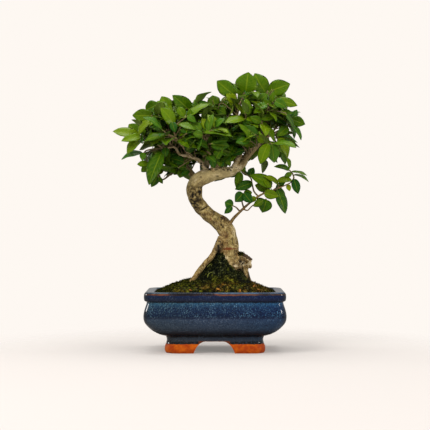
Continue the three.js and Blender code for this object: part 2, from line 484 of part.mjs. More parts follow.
// A tube along a smooth curve through the points, each with its own radius
function stem(path, sides, grown, fluting = 0) {
  const curve = new THREE.CatmullRomCurve3(path.map(point), false, 'catmullrom', 0.5);
  const steps = path.length - 1;
  let across = new THREE.Vector3(1, 0, 0);
  const rings = [];
  for (let step = 0; step <= steps; step += 1) {
    const share = step / steps;
    const centre = curve.getPoint(share);
    const along = curve.getTangent(share);
    across = across.clone().addScaledVector(along, -across.dot(along)).normalize();
    const beside = along.clone().cross(across);
    const radius = path[step][3] + grown;
    const ring = [];
    for (let side = 0; side < sides; side += 1) {
      const angle = side / sides * 2 * Math.PI;
      const reach = radius * (1 + fluting * Math.sin(FLUTES * angle + step * FLUTE_TWIST));
      ring.push(centre.clone().addScaledVector(across, reach * Math.cos(angle))
        .addScaledVector(beside, reach * Math.sin(angle)));
    }
    rings.push(ring);
  }
  return skin(rings);
}

function woodBody(grown) {
  const trunk = stem(TRUNK, TRUNK_SIDES, grown, TRUNK_FLUTING);
  const roots = ROOTS.map((root) => stem(root, ROOT_SIDES, grown));
  const limbs = Object.values(LIMBS).map((limb) => stem(limb, LIMB_SIDES, grown));
  return joined([trunk, ...roots, ...limbs]);
}

function twigCurve(spray) {
  return new THREE.CatmullRomCurve3(spray.twig.map(point), false, 'catmullrom', 0.5);
}

function twigBody(spray) {
  const last = spray.twig.length - 1;
  const path = spray.twig.map(([x, y, z], i) => {
    const radius = TWIG_RADIUS[0] + (TWIG_RADIUS[1] - TWIG_RADIUS[0]) * i / last;
    return [x, y, z, radius];
  });
  return stem(path, TWIG_SIDES, 0);
}

function nearestOnTwig(curve, place) {
  let best = curve.getPoint(0);
  for (let step = 1; step <= TWIG_STEPS; step += 1) {
    const here = curve.getPoint(step / TWIG_STEPS);
    if (here.distanceTo(place) < best.distanceTo(place)) best = here;
  }
  return best;
}

// A leaf that the front view shows. One that looks slender is turned on its own
// axis, so that its real width still suits its length.
function seenLeaf(curve, [baseX, baseZ, tipX, tipZ, width, depth, deeper], shift) {
  const base = new THREE.Vector3(baseX, depth + shift, baseZ);
  const tip = new THREE.Vector3(tipX, depth + shift + deeper, tipZ);
  const along = tip.clone().sub(base);
  const realWidth = Math.max(width, SLENDER_SHARE * along.length());
  along.normalize();
  const front = new THREE.Vector3(0, -1, 0);
  const facing = front.addScaledVector(along, -front.dot(along)).normalize();
  const beside = along.clone().cross(facing);
  if (beside.z < 0) beside.negate();
  const turn = Math.acos(width / realWidth);
  const normal = facing.multiplyScalar(Math.cos(turn)).addScaledVector(beside, Math.sin(turn));
  return { root: nearestOnTwig(curve, base), base, tip, normal, width: realWidth };
}

// One leaf of a pair, or the single leaf at the twig's tip, which is the last one.
// Each pair stands crosswise to the pair before it.
function pairedLeaf(spray, seed, curve, number, extraTurn) {
  const pair = Math.floor(number / 2);
  const side = number % 2 === 0 ? 1 : -1;
  const atTip = number === 2 * spray.pairs;
  const draw = (k) => chance(seed, number * DRAWS_EACH + k);
  const share = atTip ? 1 : PAIR_START + (1 - PAIR_START) * pair / spray.pairs;
  const root = curve.getPoint(share);
  const along = curve.getTangent(share);
  const level = along.clone().cross(new THREE.Vector3(0, 0, 1)).normalize();
  const upright = level.clone().cross(along);
  const turn = pair * Math.PI / 2 + between(PAIR_TURN, draw(1)) + extraTurn;
  const lean = atTip ? Math.abs(extraTurn) * TIP_LEAN : between(PAIR_LEAN, draw(2));
  const out = level.multiplyScalar(side * Math.cos(turn))
    .addScaledVector(upright, side * Math.sin(turn));
  const axis = along.clone().multiplyScalar(Math.cos(lean)).addScaledVector(out, Math.sin(lean));
  axis.z -= PAIR_DROOP * draw(3);
  axis.normalize();
  const length = between(PAIR_LENGTH, draw(4));
  const outward = root.clone().sub(CROWN_CENTRE).normalize().multiplyScalar(FACE_OUTWARD);
  const normal = outward.add(new THREE.Vector3(0, -FACE_FRONT, FACE_UP));
  normal.addScaledVector(axis, -normal.dot(axis)).normalize();
  const base = root.clone().addScaledVector(axis, PAIR_STALK);
  const tip = base.clone().addScaledVector(axis, length);
  return { root, base, tip, normal, width: length * between(PAIR_WIDTH, draw(5)), flat: true };
}

// Triangles between two rows of points that run left to right across a blade
function stitch(near, far) {
  const triangles = [];
  let i = 0;
  let j = 0;
  while (i < near.length - 1 || j < far.length - 1) {
    const nextNear = (i + 1) / (near.length - 1);
    const nextFar = (j + 1) / (far.length - 1);
    if (j < far.length - 1 && (i === near.length - 1 || nextFar <= nextNear)) {
      triangles.push([near[i], far[j + 1], far[j]]);
      j += 1;
    } else {
      triangles.push([near[i], near[i + 1], far[j]]);
      i += 1;
    }
  }
  return triangles;
}

function bladeRows(length, width, flat) {
  if (width < SMALL_LEAF && length < 2 * SMALL_LEAF) return SMALL_ROWS;
  return width > WIDE_LEAF && !flat ? WIDE_ROWS : BLADE_ROWS;
}

// A folded and arched blade on its stalk, split alike on both faces
function bladeBody({ root, base, tip, normal, width, flat }) {
  const along = tip.clone().sub(base);
  const length = along.length();
  along.normalize();
  const right = along.clone().cross(normal);
  const points = [];
  const addRow = (centre, halfWidth, middle) => {
    const lift = flat ? 0 : FOLD * halfWidth;
    const row = [centre.clone().addScaledVector(right, -halfWidth).addScaledVector(normal, lift)];
    if (middle && !flat) row.push(centre.clone());
    row.push(centre.clone().addScaledVector(right, halfWidth).addScaledVector(normal, lift));
    points.push(...row);
    return row.map((_, i) => points.length - row.length + i);
  };
  points.push(root.clone());
  const rows = [[0]];
  if (root.distanceTo(base) > SHORT_STALK) rows.push(addRow(base, STALK_HALF_WIDTH, false));
  bladeRows(length, width, flat).forEach(([share, widthShare]) => {
    const centre = base.clone().addScaledVector(along, share * length)
      .addScaledVector(normal, ARCH * length * 4 * share * (1 - share));
    rows.push(addRow(centre, width / 2 * widthShare, true));
  });
  points.push(tip.clone());
  rows.push([points.length - 1]);
  const face = rows.slice(1).flatMap((row, i) => stitch(rows[i], row));
  const rightEdge = rows.map((row) => row[row.length - 1]);
  const leftEdge = rows.slice(1, -1).map((row) => row[0]).reverse();
  const rim = [...rightEdge, ...leftEdge];
  const count = points.length;
  const index = face.flatMap(([a, b, c]) => [a, b, c, c + count, b + count, a + count]);
  rim.forEach((from, i) => {
    const to = rim[(i + 1) % rim.length];
    index.push(from + count, to + count, to, from + count, to, from);
  });
  const half = BLADE_THICKNESS / 2;
  const upper = points.map((p) => p.clone().addScaledVector(normal, half));
  const lower = points.map((p) => p.clone().addScaledVector(normal, -half));
  return bodyOf([...upper, ...lower], index);
}

function boxOf(body) {
  const { min, max } = body.boundingBox();
  return new THREE.Box3(point(min), point(max)).expandByScalar(LEAF_CLEARANCE);
}

const clearOf = (body, box, other) => !box.intersectsBox(other.box)
  || body.minGap(other.body, 2 * LEAF_CLEARANCE) >= LEAF_CLEARANCE;

// The part of a blade that must not touch the other leaves of its own twig
function outerBlade(leaf) {
  const start = leaf.base.clone().lerp(leaf.tip, OUTER_START);
  return bladeBody({ ...leaf, root: start, base: start, width: leaf.width * OUTER_WIDTH });
}

// Places one leaf at the first of the tried places that is clear of everything
function placeLeaf(owner, makers, others, kept) {
  for (const make of makers) {
    const leaf = make();
    const body = bladeBody(leaf);
    const box = boxOf(body);
    const outer = outerBlade(leaf);
    const free = others.every((other) => other.owner === owner
      || clearOf(other.owner === GROUND ? outer : body, box, other))
      && kept.every((other) => clearOf(outer, box, other));
    if (free) {
      others.push({ owner, body, box });
      kept.push({ body: outer, box: boxOf(outer) });
      return body;
    }
  }
  return null;
}

// Adds the leaves to every twig: first those the front view shows, then the pairs
function sprayBodies(standing) {
  const others = standing.map((body) => ({ owner: GROUND, body, box: boxOf(body) }));
  const sprays = SPRAYS.map((spray, owner) => {
    const twig = twigBody(spray);
    others.push({ owner, body: twig, box: boxOf(twig) });
    return { curve: twigCurve(spray), bodies: [twig], kept: [] };
  });
  SPRAYS.forEach((spray, owner) => {
    const { curve, bodies, kept } = sprays[owner];
    (spray.leaves ?? []).forEach((row) => {
      const makers = DEPTH_TRIES.map((shift) => () => seenLeaf(curve, row, shift));
      const body = placeLeaf(owner, makers, others, kept);
      if (body) bodies.push(body);
    });
  });
  SPRAYS.forEach((spray, owner) => {
    const { curve, bodies, kept } = sprays[owner];
    for (let number = 0; spray.pairs && number <= 2 * spray.pairs; number += 1) {
      const makers = TURN_TRIES.map((turn) => () => pairedLeaf(spray, owner + 1, curve,
        number, turn));
      const body = placeLeaf(owner, makers, others, kept);
      if (body) bodies.push(body);
    }
  });
  return sprays.map(({ bodies }) => joined(bodies));
}

function named(name, body, material) {
  const { vertProperties, triVerts, numProp } = body.getMesh();
  const geometry = new THREE.BufferGeometry();
  const positions = new Float32Array(vertProperties.length / numProp * 3);
  for (let i = 0; i < positions.length; i += 1) {
    positions[i] = vertProperties[Math.floor(i / 3) * numProp + (i % 3)];
  }
  geometry.setAttribute('position', new THREE.BufferAttribute(positions, 3));
  geometry.setIndex(new THREE.BufferAttribute(triVerts, 1));
  geometry.computeVertexNormals();
  const mesh = new THREE.Mesh(geometry, material);
  mesh.name = name;
  return mesh;
}

const paint = (color, roughness) =>
  new THREE.MeshStandardMaterial({ color, roughness, metalness: 0 });
const GLAZE = paint(0x1f4f8f, 0.15);
const SOIL = paint(0x3a2a1c, 1);
const MOSS = paint(0x5c6a22, 1);
const BARK = paint(0x8f7a50, 0.85);
const LEAF_GREENS = [0x4f7d1c, 0x3f6e1a, 0x6a8c22, 0x2f5a1e, 0x587f24];
const LEAF_ROUGHNESS = 0.45;

const wood = woodBody(0).simplify(SLIVER);
const woodSpace = woodBody(GAP);
const rootSpace = woodBody(ROOT_GAP);
const moss = largestPart(mossBody().subtract(rootSpace)).simplify(ROOT_TOLERANCE);
const soil = largestPart(soilBody().subtract(rootSpace)).simplify(ROOT_TOLERANCE);
const sprays = sprayBodies([wood, moss]).map((body) =>
  largestPart(body.subtract(woodSpace)).simplify(SLIVER));

const bonsai = new THREE.Group();
bonsai.add(named('pot', potBody(), GLAZE));
bonsai.add(named('soil', soil, SOIL));
bonsai.add(named('moss', moss, MOSS));
bonsai.add(named('wood', wood, BARK));
SPRAYS.forEach(({ name }, i) => {
  const green = paint(LEAF_GREENS[i % LEAF_GREENS.length], LEAF_ROUGHNESS);
  bonsai.add(named(`spray_${name}`, sprays[i], green));
});

const whole = new THREE.Box3().setFromObject(bonsai);
const middle = whole.getCenter(new THREE.Vector3());
bonsai.position.set(-middle.x, -middle.y, -whole.min.z);

export default bonsai;
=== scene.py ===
import math

import bpy
import numpy as np
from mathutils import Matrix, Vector, kdtree, noise


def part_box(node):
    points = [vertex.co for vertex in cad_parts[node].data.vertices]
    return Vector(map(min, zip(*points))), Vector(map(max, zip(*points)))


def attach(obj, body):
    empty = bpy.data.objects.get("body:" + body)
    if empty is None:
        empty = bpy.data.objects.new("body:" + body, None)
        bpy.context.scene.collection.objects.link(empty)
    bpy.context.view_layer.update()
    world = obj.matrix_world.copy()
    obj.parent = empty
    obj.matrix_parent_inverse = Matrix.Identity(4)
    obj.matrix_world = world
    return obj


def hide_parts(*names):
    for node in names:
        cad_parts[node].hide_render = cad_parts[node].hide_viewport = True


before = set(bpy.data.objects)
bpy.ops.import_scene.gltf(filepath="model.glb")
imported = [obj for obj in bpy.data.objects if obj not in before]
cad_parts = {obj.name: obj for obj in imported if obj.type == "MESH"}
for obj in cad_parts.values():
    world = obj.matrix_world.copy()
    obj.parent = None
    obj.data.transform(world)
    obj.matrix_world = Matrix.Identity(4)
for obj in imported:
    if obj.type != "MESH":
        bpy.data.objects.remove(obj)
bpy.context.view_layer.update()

# Chinese privet bonsai in an oblong glazed pot. Sizes are in millimetres with the pot centred
# on the origin, +X to the right of the front view and -Y towards its viewer.
MM = 0.001
pot_low, pot_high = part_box("pot")
SHIFT = np.array([(pot_low.x + pot_high.x) / 2, (pot_low.y + pot_high.y) / 2, 0.0])

# Pot
POT_HALF_LENGTH = 75.1
POT_HALF_DEPTH = 57.5
POT_DEPTH_PER_LENGTH = 0.65
POT_CORNER = 13
RIM_TOP = 64.7
RIM_INNER = (64, 47)
CAVITY_CORNER = 7
UNDERSIDE = 12.5
POT_FLOOR = 18.5
RECESS = (42.5, 33)
RECESS_CORNER = 1.5
DRAIN_RADIUS = 6.5
DRAIN_SPACING = 25
POT_PROFILE = [
    (51.5, 0), (52.6, 1.2), (53.2, 4), (52.9, 7.5), (51.6, 10.4), (51.1, 12.6), (51.2, 15.4),
    (52.4, 17.9), (55.9, 18.8), (61, 20.9), (67.5, 25.2), (73.6, 32.2), (POT_HALF_LENGTH, 38.5),
    (74.3, 44.8), (72.5, 50.6), (71.8, 53.2), (72, 54.4), (73.4, 55.1), (74.3, 56.2),
    (74.7, 59), (74.5, 61.8), (73.9, 63.5), (72.8, 64.4), (71.4, RIM_TOP),
]
HOLLOW_PROFILE = [
    (50, 33, POT_FLOOR), (60, 41.5, 23.5), (67.5, 48, 33.5), (68.5, 49, 41), (66.5, 48, 51),
    (64, 47, 59.5), (64, 47, 62.4), (64.5, 47.5, 63.9), (65.6, 48.6, 64.6), (67.5, 50.5, 65.6),
]
# Arch between the feet: half width at the table, half width at its top, middle
FRONT_ARCH = (21.7, 9.65, -0.8)
SIDE_ARCH = (15, 6.5, 0)

# Mound of moss
MOSS_GAP = 0.3
MOUND_CENTRE = (9, 0)
MOUND_EDGE = 62
MOUND_RISE = 17.5
ROOT_CONE_CENTRE = (7, -2)
ROOT_CONE_TOP = 112
ROOT_CONE_SLOPE = 1.22
MOSS_THICKNESS = 3
MOSS_WAVE = 0.8

# Trunk, from below the soil to its end in the right of the crown: x, y, z, radius
TRUNK = [
    (18, -4, 60, 12), (18, -4, 76, 12), (17.5, -5, 88, 11.2), (16.7, -4, 99, 9.2),
    (16.5, -2, 110, 8.9), (14, 2, 124, 9.3), (9.6, 4, 133, 9), (-1.8, 5, 142, 8.1),
    (-12.3, 6, 151, 7.5), (-19.2, 4, 159.5, 8), (-22.2, 0, 169, 8.1),
    (-21.3, -4, 178, 8), (-17.4, -6, 183.6, 8), (-10, -6, 187.2, 7.8),
    (-0.2, -4, 189.6, 7), (9.6, -1, 191.2, 6.1), (19.4, 2, 193.2, 5.5),
    (28.4, 5, 199.5, 4.4), (33, 6, 206.5, 3.8), (43.6, 8, 221, 2.7),
    (52.3, 8, 227.6, 2), (62.4, 7, 233.3, 1.4), (69, 6, 237, 1),
]
# Roots that stand clear of the mound and dive into it; the third is a sawn-off stump
ROOTS = [
    [(6, -4, 122, 3), (3, -8, 114, 3.2), (-3, -12, 102, 2.8), (-11, -15, 93, 2.6),
     (-22.7, -20, 78, 2.7), (-29, -23, 66, 2)],
    [(9, -2, 106, 4), (0, -3, 97, 3.2), (-12, -2, 85, 2.8), (-24, -1, 70, 2.4)],
    [(20, -4, 100, 8), (28, -3.5, 98, 6.8), (34, -3, 97, 6.2), (37, -2, 96.5, 5)],
    [(30, -4, 96, 4), (33, -5, 89, 2.8), (33, -6, 80, 2.6), (33, -8, 66, 2.4)],
    [(14, 4, 102, 6), (8, 14, 92, 4.8), (2, 25, 78, 3.8), (-3, 32, 66, 3)],
    [(22, 3, 102, 6), (29, 13, 92, 4.8), (35, 23, 78, 3.6), (39, 29, 66, 3)],
]
# Broken knobs of the stump, and its sawn face: height at x = 30, y = 0, then its slopes
KNOBS = [
    [(33, -3.5, 99, 4.4), (38, -3.5, 99.4, 3.2), (41, -3, 99, 1.9)],
    [(34, -4, 95.5, 4), (37.4, -4, 91.5, 2.6), (38, -4, 88.6, 1.3)],
    [(27, -8, 101, 3), (32, -8.5, 100.8, 2.2), (37.5, -7, 97.6, 1.7)],
    [(29, 0, 101, 4), (31, -0.5, 104, 2.6)],
    [(25, -9, 92, 3.4), (20, -10, 88.5, 3.2), (17, -9, 93, 3)],
    [(8, -4, 120, 2.6), (5.6, -7, 116.5, 2.6), (5.4, -8, 110, 2.2), (6.5, -6, 104, 2)],
]
STUMP_FACE = (105.2, -0.62, 0.35)
STUMP_FROM = 28.5
STUMP_END = 40.2
# Share of their radius that limbs keep where the real ones are thin
THIN_LIMBS = {0: 0.74, 15: 0.7, 19: 0.76, 20: 0.8}
# Limbs and bare twigs, each from inside the wood that carries it
LIMBS = [
    [(-12, -2, 188, 3.6), (-11, -5, 196, 3.2), (-17, -8, 204, 3), (-22, -9, 206.5, 2.6),
     (-30, -10, 209, 2.3), (-38, -11, 210.5, 2), (-42, -11, 217, 1.9), (-48, -12, 221, 1.6),
     (-48.5, -12, 230, 1.4), (-50, -12, 240, 1.1), (-51, -12, 246, 0.9)],
    [(-45, -11.5, 219, 1.4), (-52, -13, 217, 1.3), (-57, -14, 217.5, 1.2),
     (-63, -15, 223, 1.1), (-72, -16, 227.5, 0.9)],
    [(-49, -12, 234, 1.1), (-57, -13, 241, 1), (-62, -14, 245, 0.9)],
    [(-29, -10, 208.5, 1.1), (-30, -10, 213, 1), (-28, -11, 218, 0.9), (-31, -12, 226, 0.8)],
    [(-20, 2, 182, 1.8), (-25, 6, 187, 1.5), (-31, 9, 193.5, 1.3), (-42, 12, 194, 1.2),
     (-48, 13, 190, 1.1), (-57, 15, 184, 1), (-62, 17, 187, 0.9)],
    [(-12, -2, 189, 3.6), (-8, 2, 205, 3), (-10, 3, 220, 2.6), (-16, 4, 237, 2.1),
     (-23, 5, 249, 1.5), (-25, 5, 254, 1.1)],
    [(-9.5, 3, 214, 2.4), (-20, 14, 228, 2), (-36, 22, 240, 1.6), (-50, 26, 249, 1.2),
     (-60, 28, 254, 0.9)],
    [(0, -3, 190, 3.2), (4, -2, 206, 2.8), (6, 2, 222, 2.3), (4, 4, 240, 1.8),
     (0, 5, 253, 1.3), (-1, 5, 258, 1)],
    [(17, 1, 192, 3.4), (25, 0, 206, 2.9), (27, -2, 216, 2.6), (25, -2, 237, 2.1),
     (24, 0, 255, 1.6), (29, 1, 270, 1.1)],
    [(37, 7, 213, 2.4), (44, 4, 230, 2), (50, 2, 248, 1.6), (54, 0, 262, 1.2),
     (56, 1, 270, 0.9)],
    [(26, -2, 228, 2.1), (38, -8, 240, 1.8), (50, -14, 250, 1.3), (58, -17, 257, 1)],
    [(43, 8, 220, 2.2), (53, 18, 229, 1.8), (63, 27, 237, 1.4), (70, 32, 245, 1)],
    [(-2, -5, 189, 2.8), (-3, -16, 200, 2.3), (-6, -27, 211, 1.8), (-10, -36, 221, 1.3),
     (-12, -40, 227, 1)],
    [(8, 0, 191, 3), (6, 12, 204, 2.6), (4, 24, 218, 2.1), (2, 35, 232, 1.6), (0, 41, 241, 1.1)],
    [(22, 3, 195, 2.6), (30, 14, 206, 2.2), (38, 25, 218, 1.7), (45, 34, 229, 1.2),
     (49, 38, 236, 0.9)],
    [(-19, -1, 184, 2.8), (-26, 10, 194, 2.3), (-36, 21, 205, 1.8), (-47, 30, 215, 1.3),
     (-55, 35, 222, 0.9)],
    [(-24, -9.5, 207, 1.9), (-31, -20, 215, 1.6), (-38, -31, 223, 1.2), (-42, -37, 228, 0.9)],
    [(28, 5, 199, 2.2), (34, -8, 206, 1.8), (42, -21, 214, 1.4), (50, -32, 222, 1)],
    [(50, 8, 226, 1.4), (49, 4, 231, 1.1), (47, 2, 236, 0.9)],
    [(16, -1, 136, 2.8), (20, -3, 142, 2.3), (24, -3, 146, 2.1), (30, -4, 152, 1.9),
     (38, -5, 159, 1.7), (49, -7, 167, 1.5), (62, -8, 172, 1.3), (78, -9, 178.5, 1),
     (83, -10, 181.5, 0.9)],
    [(30, -4, 152, 1.1), (35, -6, 150.5, 1), (39, -8, 154.5, 0.9), (43, -9, 157.5, 0.9)],
]

